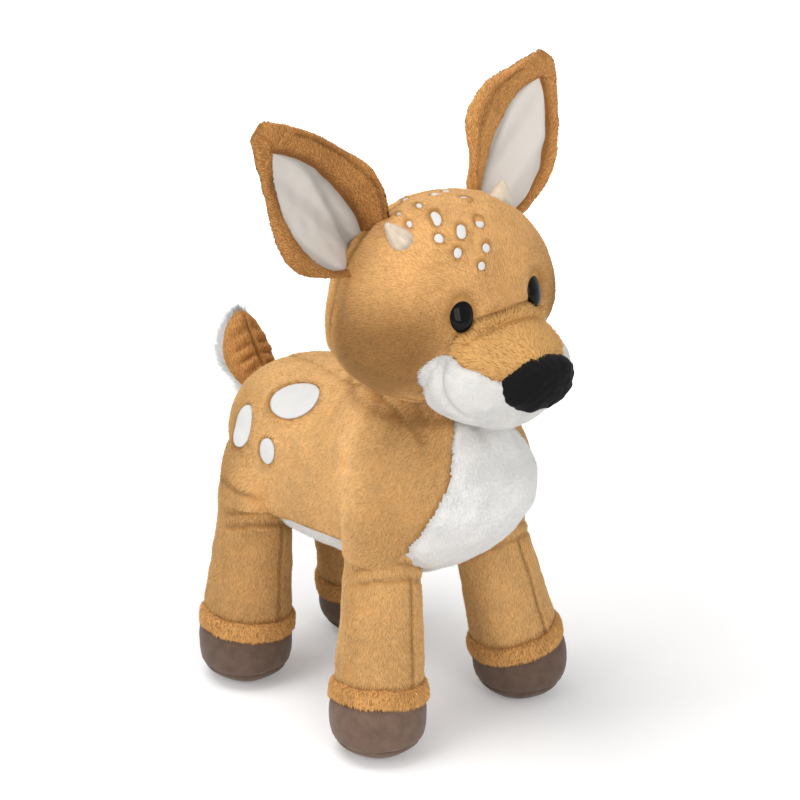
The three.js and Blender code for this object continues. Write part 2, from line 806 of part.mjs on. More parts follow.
const tailProfile = curveThrough(tailProfileShares);
const tailCurve = new THREE.QuadraticBezierCurve3(
  tailRoot,
  point(0, tailRoot.y + tailReach, tailRoot.z + tailReach / 4),
  point(0, tailRoot.y + tailReach, tailRoot.z + tailRise),
);

// The tail, drawn in all round by an inset.
function tailForm(inset, sides = coreSides, rings = coreRings) {
  const ring = (i) => {
    const along = (1 - Math.cos((Math.PI * i) / rings)) / 2;
    const full = fullness(along, tailFullness);
    const center = tailCurve.getPointAt(along);
    const under = point(0, 0, 0).crossVectors(tailCurve.getTangentAt(along), acrossAxis);
    const halfWidth = (tailProfile(along) * tailHalfWidth - inset) * full;
    const halfThickness = (tailProfile(along) * tailHalfThickness - inset) * full;
    return Array.from({ length: sides }, (_, j) => {
      const angle = (2 * Math.PI * j) / sides;
      return center
        .clone()
        .addScaledVector(acrossAxis, halfWidth * Math.cos(angle))
        .addScaledVector(under, halfThickness * Math.sin(angle));
    });
  };
  const rows = Array.from({ length: rings - 1 }, (_, i) => ring(i + 1));
  return solidOf(ringedForm(ring(0)[0], rows, ring(rings)[0]));
}

// All that lies under the tail's middle surface, or over it, short of it by half a fit.
function besideTailSeam(direction) {
  const strip = (far) =>
    Array.from({ length: limbRings + 1 }, (_, i) => {
      const along = i / limbRings;
      const tangent = tailCurve.getTangentAt(along);
      const under = point(0, 0, 0).crossVectors(tangent, acrossAxis);
      const beyond = i === 0 ? -tailHalfWidth : i === limbRings ? tailHalfWidth : 0;
      return tailCurve
        .getPointAt(along)
        .addScaledVector(tangent, beyond)
        .addScaledVector(under, direction * (far ? tailHalfWidth : fit / 2));
    });
  const across = (row) => [-1, 1].map((end) => row.clone().addScaledVector(acrossAxis, end * overrun));
  const near = strip(false).map(across);
  const far = strip(true).map(across);
  return solidOf(direction > 0 ? sheetForm(near, far) : sheetForm(far, near));
}

function addTail() {
  const tail = carriedBy(deer, tailRoot);
  const nearTorso = roundBend(barrel(-bendRoom), tailRoot, acrossAxis, tailBendLimit);
  const outer = tailForm(0, limbSides, limbRings);
  const shell = outer.subtract(tailForm(fabric)).subtract(nearTorso);
  const top = shell.intersect(besideTailSeam(-1));
  const under = shell.intersect(besideTailSeam(1));
  addPiece(tail, "tail_top_panel", top, finishes.tanPile);
  addPiece(tail, "tail_under_panel", under, finishes.whitePile);
  addPiece(tail, "tail_stuffing", tailForm(fabric + fit).subtract(nearTorso), finishes.fibre);
}

addTail();

// Legs

// A hoof's egg, squarer than a plain one, drawn in all round by an inset.
function hoofEgg(middle, inset, sides = coreSides, rings = coreRings) {
  const bulge = (v) => Math.sign(v) * Math.pow(Math.abs(v), 2 / hoofSquareness);
  const profile = Array.from({ length: rings - 1 }, (_, i) => {
    const angle = Math.PI * ((i + 1) / rings - 1 / 2);
    return [
      (hoofRadius - inset) * bulge(Math.cos(angle)),
      (hoofHalfHeight - inset) * bulge(Math.sin(angle)),
    ];
  });
  const poles = hoofHalfHeight - inset;
  return solidOf(
    turned([[0, -poles], ...profile, [0, poles]], sides),
    placed(middle.x, middle.y, middle.z),
  );
}

function addLeg(name) {
  const pivot = onTorso(legShares[name].ball, legBallHeight);
  const hoofMiddle = onTorso(legShares[name].hoof, hoofHalfHeight - floorTrim);
  const down = hoofMiddle.clone().sub(pivot);
  const carried = carriedBy(deer, pivot);
  const lean = new THREE.Quaternion().setFromUnitVectors(
    point(0, 0, -1),
    down.clone().normalize(),
  );
  const place = placed(pivot.x, pivot.y, pivot.z).multiply(
    new THREE.Matrix4().makeRotationFromQuaternion(lean),
  );
  const inPlace = (profile) => solidOf(turned(profile, limbSides), place);
  const top = -legBallRadius / 2;
  const bottom = hoofShowing - down.length();
  const middle = (top + bottom) / 2;
  const nearTorso = roundBend(barrel(-bendRoom), pivot, acrossAxis, legSwingLimit).add(
    socket(legBallRadius, pivot),
  );

  const cover = inPlace([
    [legBottomRadius, bottom],
    [legMiddleRadius, middle],
    [legTopRadius, top],
    [legTopRadius - fabric, top],
    [legMiddleRadius - fabric, middle],
    [legBottomRadius - fabric, bottom],
    [legBottomRadius, bottom],
  ]);
  addPiece(carried, `leg_cover_${name}`, cover.subtract(nearTorso), finishes.tanPile);

  const cuffIn = legBottomRadius + fit;
  const cuffOut = cuffIn + cuffThickness;
  const roll = cuffThickness / 2;
  const cuff = inPlace([
    [cuffIn, bottom],
    [cuffOut - roll, bottom],
    [cuffOut, bottom + roll],
    [cuffOut, bottom + cuffHeight - roll],
    [cuffOut - roll, bottom + cuffHeight],
    [cuffIn, bottom + cuffHeight],
    [cuffIn, bottom],
  ]);
  addPiece(carried, `cuff_${name}`, cuff, finishes.tanPile);

  const wide = hoofRadius * 4;
  const slab = (from, to) =>
    new THREE.BoxGeometry(wide, wide, to - from).translate(0, 0, (from + to) / 2);
  const aboveHoof = solidOf(slab(bottom - fit, bottom + hoofRadius), place);
  const footing = placed(hoofMiddle.x, hoofMiddle.y, 0);
  const outer = hoofEgg(hoofMiddle, 0, limbSides, limbRings);
  const shell = outer.subtract(hoofEgg(hoofMiddle, suede)).subtract(aboveHoof);
  const hoofCover = shell.intersect(solidOf(slab(soleTopHeight + fit, wide), footing));
  addPiece(carried, `hoof_cover_${name}`, hoofCover, finishes.suede);
  const sole = shell.intersect(solidOf(slab(0, soleTopHeight), footing));
  addPiece(carried, `sole_${name}`, sole, finishes.suede);

  const inset = fabric + fit;
  const ankle = bottom - hoofRadius / 2;
  const core = inPlace([
    [0, ankle],
    [ankleCoreRadius, ankle],
    [ankleCoreRadius, bottom],
    [legBottomRadius - inset, bottom],
    [legMiddleRadius - inset, middle],
    [legTopRadius - inset, top],
    [0, top],
  ]);
  const hoofCore = hoofEgg(hoofMiddle, suede + fit).subtract(aboveHoof);
  const stuffing = core.add(hoofCore).subtract(nearTorso);
  addPiece(carried, `leg_stuffing_${name}`, stuffing, finishes.fibre);
}

Object.keys(legShares).forEach(addLeg);

// The deer stands on the floor with the middle of its bounds over the origin.
const bounds = new THREE.Box3().setFromObject(deer);
deer.position.set(0, -(bounds.min.y + bounds.max.y) / 2, 0);

export default deer;
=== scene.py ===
"""A plush deer that stands on its four legs: its covers, its pile, its face, its ears and its hooves."""
import json
from functools import reduce

import bpy
import numpy as np
from bpy.props import FloatProperty, FloatVectorProperty, PointerProperty
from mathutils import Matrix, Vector


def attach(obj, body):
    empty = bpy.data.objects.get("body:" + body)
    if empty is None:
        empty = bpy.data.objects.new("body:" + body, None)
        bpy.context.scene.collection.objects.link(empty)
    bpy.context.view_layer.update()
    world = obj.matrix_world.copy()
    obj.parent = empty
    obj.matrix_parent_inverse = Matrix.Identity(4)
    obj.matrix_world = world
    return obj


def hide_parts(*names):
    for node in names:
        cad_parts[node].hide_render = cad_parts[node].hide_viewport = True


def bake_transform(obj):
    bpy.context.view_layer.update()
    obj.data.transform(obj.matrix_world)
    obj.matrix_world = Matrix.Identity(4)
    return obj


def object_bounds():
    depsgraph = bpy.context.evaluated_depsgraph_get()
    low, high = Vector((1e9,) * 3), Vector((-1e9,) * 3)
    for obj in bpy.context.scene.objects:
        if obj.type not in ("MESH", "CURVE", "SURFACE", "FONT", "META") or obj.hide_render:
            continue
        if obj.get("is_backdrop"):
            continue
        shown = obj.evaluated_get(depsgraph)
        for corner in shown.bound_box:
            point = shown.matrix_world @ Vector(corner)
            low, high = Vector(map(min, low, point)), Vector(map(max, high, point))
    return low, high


bl_info = {
    "name": "Plush deer",
    "version": (1, 0, 0),
    "blender": (4, 5, 0),
    "location": "3D View > Sidebar > Plush deer",
    "description": "Covers, pile, face and hooves of a standing plush deer",
    "category": "Add Mesh",
}

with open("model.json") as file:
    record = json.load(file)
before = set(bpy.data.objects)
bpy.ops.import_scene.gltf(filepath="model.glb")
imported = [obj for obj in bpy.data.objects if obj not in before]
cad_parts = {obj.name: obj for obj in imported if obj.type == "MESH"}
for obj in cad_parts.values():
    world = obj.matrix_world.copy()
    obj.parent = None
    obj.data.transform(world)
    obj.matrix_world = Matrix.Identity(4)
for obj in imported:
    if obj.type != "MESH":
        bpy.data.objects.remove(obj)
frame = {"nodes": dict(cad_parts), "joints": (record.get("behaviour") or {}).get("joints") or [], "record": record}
cad_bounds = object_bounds()
record = frame["record"]
pivots = {joint["name"]: np.array(joint["pos_m"]) for joint in frame["joints"]}
rests = {mount["name"]: np.array(mount["pos_m"]) for mount in record["mounts"]}

mm = 0.001
sides = {"right": -1, "left": 1}
leg_names = ("front_right", "front_left", "hind_right", "hind_left")
x_axis, y_axis, z_axis = np.eye(3)


# Sizes and colours that a user would change


def length(name, description, default):
    """A length in metres."""
    return FloatProperty(
        name=name, description=description, default=default, min=0, precision=4,
        unit="LENGTH", subtype="DISTANCE",
    )


def shown_colour(name, description, red, green, blue):
    """A colour given as a screen shows it, each part from 0 to 255."""
    shown = np.array([red, green, blue]) / 255
    linear = np.where(shown <= 0.04045, shown / 12.92, ((shown + 0.055) / 1.055) ** 2.4)
    return FloatVectorProperty(
        name=name, description=description, default=tuple(linear), min=0, max=1, size=3,
        subtype="COLOR",
    )


class DeerSizes(bpy.types.PropertyGroup):
    torso_length: length("Torso length", "Chest to rump", 0.273)
    torso_half_width: length("Torso half width", "Middle to side", 0.076)
    torso_height: length("Torso height", "Belly to back", 0.150)
    neck_above_belly: length("Neck above belly", "Belly up to the neck's middle", 0.141)
    neck_radius: length("Neck radius", "Ball inside the neck", 0.046)
    neck_setback: length("Neck setback", "Chest back to the neck's middle", 0.090)
    panel_half_width: length("Chest panel half width", "White panel at its widest", 0.060)
    strip_half_width: length("Belly strip half width", "White strip under the belly", 0.057)
    head_half_width: length("Head half width", "Middle to cheek", 0.097)
    head_half_depth: length("Head half depth", "Middle to face", 0.067)
    head_half_height: length("Head half height", "Middle to crown", 0.0775)
    muzzle_half_width: length("Muzzle half width", "Middle to side", 0.058)
    muzzle_half_depth: length("Muzzle half depth", "Middle to front", 0.049)
    muzzle_half_height: length("Muzzle half height", "Middle to top", 0.040)
    nose_half_width: length("Nose half width", "Middle to side", 0.033)
    nose_half_depth: length("Nose half depth", "Middle to front", 0.018)
    nose_half_height: length("Nose half height", "Middle to top", 0.0190)
    eye_half_width: length("Eye half width", "Middle to corner", 0.0102)
    eye_half_height: length("Eye half height", "Middle to top", 0.0136)
    eye_half_depth: length("Eye half depth", "Rim to front", 0.007)
    horn_length: length("Horn length", "Seam to tip", 0.0250)
    horn_base_radius: length("Horn base radius", "At its seam", 0.0092)
    ear_half_width: length("Ear half width", "At its widest", 0.046)
    ear_thickness: length("Ear thickness", "Front to back of the rim", 0.009)
    ear_cup: length("Ear cup", "Depth of the hollow at the base", 0.024)
    tail_half_width: length("Tail half width", "At its widest", 0.022)
    tail_half_thickness: length("Tail half thickness", "At its thickest", 0.014)
    leg_top_radius: length("Leg top radius", "Under the torso", 0.0300)
    leg_middle_radius: length("Leg middle radius", "Halfway down", 0.0330)
    leg_bottom_radius: length("Leg bottom radius", "At the cuff", 0.0355)
    cuff_height: length("Cuff height", "Turned-up band", 0.0155)
    cuff_thickness: length("Cuff thickness", "Turned-up band", 0.0045)
    hoof_radius: length("Hoof radius", "Middle to side", 0.037)
    hoof_half_height: length("Hoof half height", "Middle to sole", 0.031)
    sole_height: length("Sole height", "Floor up to the sole's seam", 0.0130)
    pile_length: length("Pile length", "Tufts of the tan and white pile", 0.0032)
    long_pile_length: length("Long pile length", "Tufts over the muzzle", 0.0044)
    fringe_length: length("Tail fringe length", "White tufts under the tail", 0.014)
    tuft_width: length("Tuft width", "At the root", 0.0010)


class DeerColours(bpy.types.PropertyGroup):
    # Each pile's root colour is darker than its tip: painted shade deep in the pile
    tan_tip: shown_colour("Tan tip", "Ends of the body's pile", 246, 199, 138)
    tan_root: shown_colour("Tan root", "Roots of the body's pile", 212, 158, 95)
    head_tip: shown_colour("Head tan tip", "Ends of the head's pile", 240, 190, 129)
    head_root: shown_colour("Head tan root", "Roots of the head's pile", 208, 154, 93)
    bright_tip: shown_colour("Bright tan tip", "Ends of the muzzle's pile", 240, 190, 122)
    bright_root: shown_colour("Bright tan root", "Roots of the muzzle's pile", 194, 138, 76)
    cuff_tip: shown_colour("Cuff tan tip", "Ends of the cuffs' pile", 230, 174, 108)
    cuff_root: shown_colour("Cuff tan root", "Roots of the cuffs' pile", 186, 130, 74)
    ear_tip: shown_colour("Ear tan tip", "Ends of the ears' pile", 220, 162, 98)
    ear_root: shown_colour("Ear tan root", "Roots of the ears' pile", 176, 120, 66)
    white_tip: shown_colour("White tip", "Ends of the white pile", 250, 249, 247)
    white_root: shown_colour("White root", "Roots of the white pile", 238, 235, 230)
    patch: shown_colour("Patch", "Smooth white patches and spots", 213, 213, 211)
    lining: shown_colour("Ear lining", "Smooth white cloth in the ears", 228, 222, 214)
    satin: shown_colour("Satin", "Horns", 205, 188, 166)
    suede: shown_colour("Suede", "Hooves", 112, 91, 78)
    nose: shown_colour("Nose cloth", "Black nose", 12, 11, 13)
    eye: shown_colour("Eye", "Glossy eyes", 9, 10, 9)
    fibre: shown_colour("Fibre", "Stuffing", 240, 238, 234)
    plastic: shown_colour("Plastic", "Lock washers behind the eyes", 216, 214, 207)


def sizes():
    return bpy.context.scene.deer_sizes


def colours():
    return bpy.context.scene.deer_colours


# Places that the pieces share


def places():
    """Middles of the main forms, each counted from the pivots that the frame gives."""
    neck = pivots["head_turn"]
    head = neck + np.array([0, -18, 83]) * mm
    muzzle = head + np.array([0, -52, -45]) * mm
    return {"neck": neck, "head": head, "muzzle": muzzle, "nose": muzzle + np.array([0, -42, 3]) * mm}


# How far each leg stands off the line through its pivot, across and back, in millimetres
leg_offsets = {
    "front_right": (0, 0), "front_left": (-0.8, 0.8), "hind_right": (-0.5, 0.5), "hind_left": (0, 0),
}


def leg_ends(name):
    """The middle of a leg at its pivot and on the floor."""
    offset = np.array([*leg_offsets[name], 0]) * mm
    return pivots[f"swing_{name}"] + offset, rests[f"rest_{name}"] + offset


def leg_columns(points):
    """For each leg its pivot, and the middle of its column at the height of each point."""
    for name in leg_names:
        ball, hoof = leg_ends(name)
        down = np.clip((ball[2] - points[..., 2]) / ball[2], 0, 1)
        yield ball, ball + (hoof - ball) * down[..., None]


# Arithmetic on whole arrays

wave_count = 7  # in a ripple
far = 1.0  # metres, a gap to something that isn't near


def unit(vectors):
    """Vectors brought to length 1."""
    return vectors / np.maximum(np.linalg.norm(vectors, axis=-1, keepdims=True), 1e-12)


def smooth_step(value, low, high):
    """From 0 at low to 1 at high, with no slope at either end."""
    t = np.clip((value - low) / (high - low), 0, 1)
    return t * t * (3 - 2 * t)


def smooth_larger(a, b, softness):
    """The larger of two values, rounded over where they are within softness of each other."""
    gap = a - b
    return (a + b + np.sqrt(gap**2 + softness**2)) / 2 - softness**2 / (4 * (np.abs(gap) + softness))


def groove(distance, width):
    """A groove's depth from 0 to 1: a bell curve of the distance from its line."""
    return np.exp(-((distance / width) ** 2))


def bulge(value, squareness):
    """A sine or cosine bent from an ellipse's, at squareness 2, toward a box's."""
    return np.sign(value) * np.abs(value) ** (2 / squareness)


def circle(count):
    """Angles evenly round a circle, in one row."""
    return np.linspace(0, 2 * np.pi, count, endpoint=False)[None]


def eased(count):
    """Shares from 0 to 1 in one column, closer together toward both ends."""
    return (1 - np.cos(np.linspace(0, np.pi, count)))[:, None] / 2


def moved(origin, *steps):
    """Points reached from an origin by steps, each an amount for every point along one direction."""
    for amount, way in steps:
        origin = origin + amount[..., None] * way
    return origin


def least(*fields):
    """The least of several fields at each point."""
    return reduce(np.minimum, fields)


def oval_gap(away, across, along, out, half, size, behind):
    """How far points lie outside an oval, counted from its middle, or far where they are well behind it."""
    oval = np.hypot(away @ across / half[0], away @ along / half[1])
    return np.where(away @ out > -behind, (oval - 1) * size, far)


def steady(*way):
    """A nap that runs the same way everywhere."""
    return lambda points: np.array(way) + 0.0 * points


def ripple(points, wavelength, seed):
    """Gentle unevenness, about -1 to 1: the mean of seven sine waves that cross each point in directions
    drawn by chance."""
    rng = np.random.default_rng(seed)
    directions = unit(rng.normal(size=(wave_count, 3)))
    phases = rng.uniform(0, 2 * np.pi, wave_count)
    return np.sin(points @ directions.T * (2 * np.pi / wavelength) + phases).mean(-1) * 1.8


def curve_through(rows):
    """A smooth curve through rows of [place, value, ...]: each span is a cubic whose end slopes are those
    of the chords beside it."""
    table = np.array(rows, float)
    stops, values = table[:, 0], table[:, 1:]
    last = len(table) - 1
    before = np.maximum(np.arange(last + 1) - 1, 0)
    after = np.minimum(np.arange(last + 1) + 1, last)
    slopes = (values[after] - values[before]) / (stops[after] - stops[before])[:, None]

    def at(place, column=0):
        place = np.clip(place, stops[0], stops[-1])
        i = np.clip(np.searchsorted(stops, place) - 1, 0, last - 1)
        width = stops[i + 1] - stops[i]
        t = (place - stops[i]) / width
        rise = values[i + 1, column] - values[i, column]
        leave = t * (1 - t) ** 2 * width * slopes[i, column]
        arrive = t**2 * (t - 1) * width * slopes[i + 1, column]
        return values[i, column] + t * t * (3 - 2 * t) * rise + leave + arrive

    return at


# Skins: grids of points on a surface

cloth_thickness = 1.6 * mm


class Skin:
    """Points in rows and columns on a surface. wrap joins the last column to the first, ring joins the last
    row to the first, and with poles the first and last rows, or with "first" only the first, are each one
    point. Fields hold one value for each point."""

    def __init__(self, points, outward=None, wrap=True, ring=False, poles=True, fields=None):
        self.points, self.wrap, self.ring, self.poles = points, wrap, ring, poles
        self.fields = fields or {}
        self.turned = False
        self.normals = self.find_normals()
        middle = points.reshape(-1, 3).mean(0)
        away = points - middle if outward is None else np.broadcast_to(outward, points.shape)
        if (self.normals * away).sum() < 0:
            self.turned = True
            self.normals = -self.normals

    def slopes(self, axis, closed):
        """Differences between each point's neighbours along an axis of the grid."""
        if closed:
            return np.roll(self.points, -1, axis) - np.roll(self.points, 1, axis)
        return np.gradient(self.points, axis=axis)

    def find_normals(self):
        """The cross product of the slopes along the columns and along the rows; a pole takes the mean of
        the next row."""
        normals = unit(np.cross(self.slopes(1, self.wrap), self.slopes(0, self.ring)))
        if self.poles:
            normals[0] = unit(normals[1].mean(0))
        if self.poles is True:
            normals[-1] = unit(normals[-2].mean(0))
        return -normals if self.turned else normals

    def push(self, height):
        """Moves each point along its normal by a height."""
        self.points = self.points + self.normals * np.asarray(height)[..., None]
        self.normals = self.find_normals()
        return self

    def shade(self):
        """How much painted shade each point has, up to 1 in a seam or fold, and less than 0 where it is painted
        lighter.
        """
        return np.broadcast_to(self.fields.get("shade", 0.0), self.points.shape[:2])

    def closed(self, grid):
        """A grid with its first column and row repeated where the skin joins up."""
        if self.wrap:
            grid = np.concatenate([grid, grid[:, :1]], 1)
        if self.ring:
            grid = np.concatenate([grid, grid[:1]], 0)
        return grid

    def corners(self):
        """The four point numbers of each cell, its faces turned outward."""
        index = np.arange(self.points.shape[0] * self.points.shape[1]).reshape(self.points.shape[:2])
        if self.poles:
            index[0] = index[0, 0]
        if self.poles is True:
            index[-1] = index[-1, 0]
        index = self.closed(index)
        cells = [index[:-1, :-1], index[:-1, 1:], index[1:, 1:], index[1:, :-1]]
        cells = np.stack(cells, -1)
        return cells[..., ::-1] if self.turned else cells

    def faces(self, inside=None):
        """Quads, and triangles at the poles, of the cells whose middle has a positive value in the inside
        field."""
        cells = self.corners()
        if inside is not None:
            value = self.closed(inside)
            middle = (value[:-1, :-1] + value[:-1, 1:] + value[1:, 1:] + value[1:, :-1]) / 4
            cells = cells[middle > 0]
        cells = cells.reshape(-1, 4)
        following = np.roll(cells, -1, 1)
        repeated = cells == following
        flat = repeated.any(1)
        triangles = cells[flat][~repeated[flat]].reshape(-1, 3)
        return cells[~flat], triangles


def mesh_object(name, points, *face_sets, values=None):
    """A smooth mesh object from points and arrays of faces, keeping only the points that the faces use.
    values are named numbers, one for each point, that its material reads."""
    face_sets = [faces for faces in face_sets if len(faces)]
    used, corners = np.unique(np.concatenate([f.ravel() for f in face_sets]), return_inverse=True)
    counts = np.concatenate([np.full(len(f), f.shape[1]) for f in face_sets])
    mesh = bpy.data.meshes.new(name)
    mesh.vertices.add(len(used))
    mesh.vertices.foreach_set("co", points.reshape(-1, 3)[used].astype(np.float32).ravel())
    mesh.loops.add(len(corners))
    mesh.loops.foreach_set("vertex_index", corners.astype(np.int32))
    mesh.polygons.add(len(counts))
    mesh.polygons.foreach_set("loop_start", (np.cumsum(counts) - counts).astype(np.int32))
    mesh.polygons.foreach_set("use_smooth", np.ones(len(counts), bool))
    mesh.update(calc_edges=True)
    for label, numbers in (values or {}).items():
        layer = mesh.attributes.new(label, "FLOAT", "POINT")
        layer.data.foreach_set("value", numbers.ravel()[used].astype(np.float32))
    obj = bpy.data.objects.new(name, mesh)
    bpy.context.scene.collection.objects.link(obj)
    return obj


def carry(obj, body, joint_ends=None):
    """The piece rides on a body. Given joint ends, another body and two points, it rides on no body and
    stays where it stands; the other body and the two points are not used."""
    if joint_ends:
        other, start, end = joint_ends
        tuple(start)
        tuple(end)
        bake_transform(obj)
    else:
        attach(obj, body)


def dress(obj, body, finish, joint_ends=None):
    """Gives a piece the material of its finish, and the body that carries it; the slot's name is not used."""
    material, slot = finish
    obj.data.materials.append(material)
    carry(obj, body, joint_ends)


def cloth(
    name, skin, body, finish, nodes, inside=None, thickness=cloth_thickness, joint_ends=None
):
    """A piece of cover: the wanted cells of a skin, closed into a thin sheet where they leave an edge. It
    replaces some of the frame's nodes."""
    obj = mesh_object(name, skin.points, *skin.faces(inside), values={"shade": skin.shade()})
    if inside is not None or skin.poles is not True and not skin.ring:
        solidify = obj.modifiers.new("Thickness", "SOLIDIFY")
        solidify.thickness = thickness
        solidify.offset = -1
    dress(obj, body, finish, joint_ends)
    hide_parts(*nodes)


# Pile: tufts that lie along the cloth's nap

most_tufts = 49000  # in one piece
tuft_density = 1.15e6  # in a square metre
pile_depth = 1.3 * mm  # how far the pile stands proud of its cloth
deepest = -2.3 * mm  # how far a seam or fold may sink before it meets the stuffing
root_sunk = 0.5 * mm  # how far a tuft's root lies inside its cloth
seam_strip = 0.5 * mm  # half width of the strip without pile along a seam
panel_strip = 0.3 * mm  # the same where two piles meet
usual_lift = 0.33  # radians that tufts stand up from the cloth
# Pile that differs from the torso's: its tufts' length and lift, and some tufts' width
chest_tufts = {"length": 3.4 * mm, "lift": 0.42}
head_tufts = {"length": 2.9 * mm}
lower_muzzle_tufts = {"length": 2.6 * mm, "lift": 0.34}
ear_tufts = {"length": 2.8 * mm, "lift": 0.34}
cuff_tufts = {"length": 3.2 * mm, "lift": 0.36, "width": 1.2 * mm}
# The fringe is denser too, and its shading leans toward the light
fringe_tufts = {"width": 0.7 * mm, "lift": 0.6, "density": 1.6e6, "glow": (-0.15, 0.15, 0.5)}
# A tuft's points are two roots, the ridge between them and the tip
tuft_faces = np.array([[2, 0, 3], [1, 2, 3], [0, 1, 3]])
tuft_heights = [0.0, 0.0, 0.15, 1.0]  # from root to tip, as the material reads them
tuft_map = np.array([[0.1, 0.12], [0.9, 0.12], [0.5, 0.03], [0.5, 0.95]])  # in its cell of the texture map


def scatter(skin, inside, density, rng):
    """Places spread evenly over a skin where the inside field is positive. Each cell of the grid gets its
    area times the density, rounded up or down by chance, at places drawn inside it. Returns a reader of
    grids at those places."""
    p = skin.closed(skin.points)
    diagonals = p[1:, 1:] - p[:-1, :-1], p[1:, :-1] - p[:-1, 1:]
    area = np.linalg.norm(np.cross(*diagonals), axis=-1) / 2
    counts = np.floor(area * density + rng.random(area.shape)).astype(int)
    i, j = np.unravel_index(np.repeat(np.arange(area.size), counts.ravel()), area.shape)
    s, t = rng.random((2, len(i)))
    if inside is not None:
        value = skin.closed(inside)
        depth = (
            (1 - s) * (1 - t) * value[i, j] + s * (1 - t) * value[i, j + 1]
            + s * t * value[i + 1, j + 1] + (1 - s) * t * value[i + 1, j]
        )
        kept = depth > 0
        i, j, s, t = i[kept], j[kept], s[kept], t[kept]

    def at(grid):
        grid = skin.closed(grid)
        shape = (-1,) + (1,) * (grid.ndim - 2)
        u, v = s.reshape(shape), t.reshape(shape)
        near = (1 - u) * grid[i, j] + u * grid[i, j + 1]
        far = (1 - u) * grid[i + 1, j] + u * grid[i + 1, j + 1]
        return (1 - v) * near + v * far

    return at


def tufts(skin, nap, look, inside, seed, clear):
    """Tufts as ridged wedges: two root points beside each other, one raised between them and a tip along
    the nap. look gives their length, width, lift from the cloth in radians and density, and the way that
    their shading leans. clear keeps those whose tips it gives a positive value."""
    rng = np.random.default_rng(seed)
    at = scatter(skin, inside, look.get("density", tuft_density), rng)
    root, normal = at(skin.points), unit(at(skin.normals))
    count = len(root)
    lay = nap(root)
    lay = unit(lay - normal * (lay * normal).sum(-1, keepdims=True))
    aside = np.cross(normal, lay)
    turn = (0.45 * ripple(root, 38 * mm, seed) + 0.2 * rng.normal(size=count))[:, None]
    lay, aside = lay * np.cos(turn) + aside * np.sin(turn), aside * np.cos(turn) - lay * np.sin(turn)
    lift = look["lift"] * (1 + 0.22 * rng.normal(size=count) + 0.4 * ripple(root, 22 * mm, seed + 1))
    lift = np.clip(lift, 0.15, 1.4)[:, None]
    direction = lay * np.cos(lift) + normal * np.sin(lift)
    reach = look["length"] * (0.75 + 0.5 * rng.random(count)) * (1 + 0.12 * ripple(root, 15 * mm, seed + 2))
    half = look["width"] * (0.35 + 0.3 * rng.random(count))[:, None]
    foot = root - root_sunk * normal
    ridge = foot + (normal - 0.5 * lay) * half
    tip = foot + direction * reach[:, None]
    points = np.stack([foot - aside * half, foot + aside * half, ridge, tip], 1)
    facings = [normal - 0.3 * aside, normal + 0.3 * aside, normal, normal + 0.15 * direction]
    shading = unit(np.stack(facings, 1))
    chance = rng.random(count)
    kept = clear(tip) > 0 if clear else np.ones(count, bool)
    if "glow" in look:
        shading = unit(shading + 2 * np.array(look["glow"]))
    dark = at(skin.shade())
    return {
        "points": points[kept],
        "normals": shading[kept],
        "chance": np.repeat(chance[kept], 4),
        "shade": np.repeat(dark[kept], 4),
    }


def pile(name, skin, body, finish, nap, look, inside, seed, joint_ends=None, clear=None):
    """Pieces of pile over a skin, each of at most most_tufts tufts. Each tuft has a cell of the texture map
    to itself."""
    made = tufts(skin, nap, look, inside, seed, clear)
    total = len(made["points"])
    parts = max(1, -(-total // most_tufts))
    for part in range(parts):
        span = slice(total * part // parts, total * (part + 1) // parts)
        points = made["points"][span]
        count = len(points)
        faces = (np.arange(count)[:, None, None] * 4 + tuft_faces).reshape(-1, 3)
        corners = slice(span.start * 4, span.stop * 4)
        values = {
            "pile_tip": np.tile(tuft_heights, count),
            "pile_chance": made["chance"][corners],
            "shade": made["shade"][corners],
        }
        obj = mesh_object(f"{name}_{part + 1}" if parts > 1 else name, points, faces, values=values)
        obj.data.normals_split_custom_set_from_vertices(made["normals"][span].reshape(-1, 3))
        across = int(np.ceil(np.sqrt(count)))
        cell = np.stack([np.arange(count) % across, np.arange(count) // across], -1)
        layer = obj.data.uv_layers.new(name="OFBake")
        places_on_map = (cell[:, None, None, :] + tuft_map[tuft_faces]) / across
        layer.data.foreach_set("uv", places_on_map.astype(np.float32).ravel())
        dress(obj, body, finish, joint_ends)


# Materials


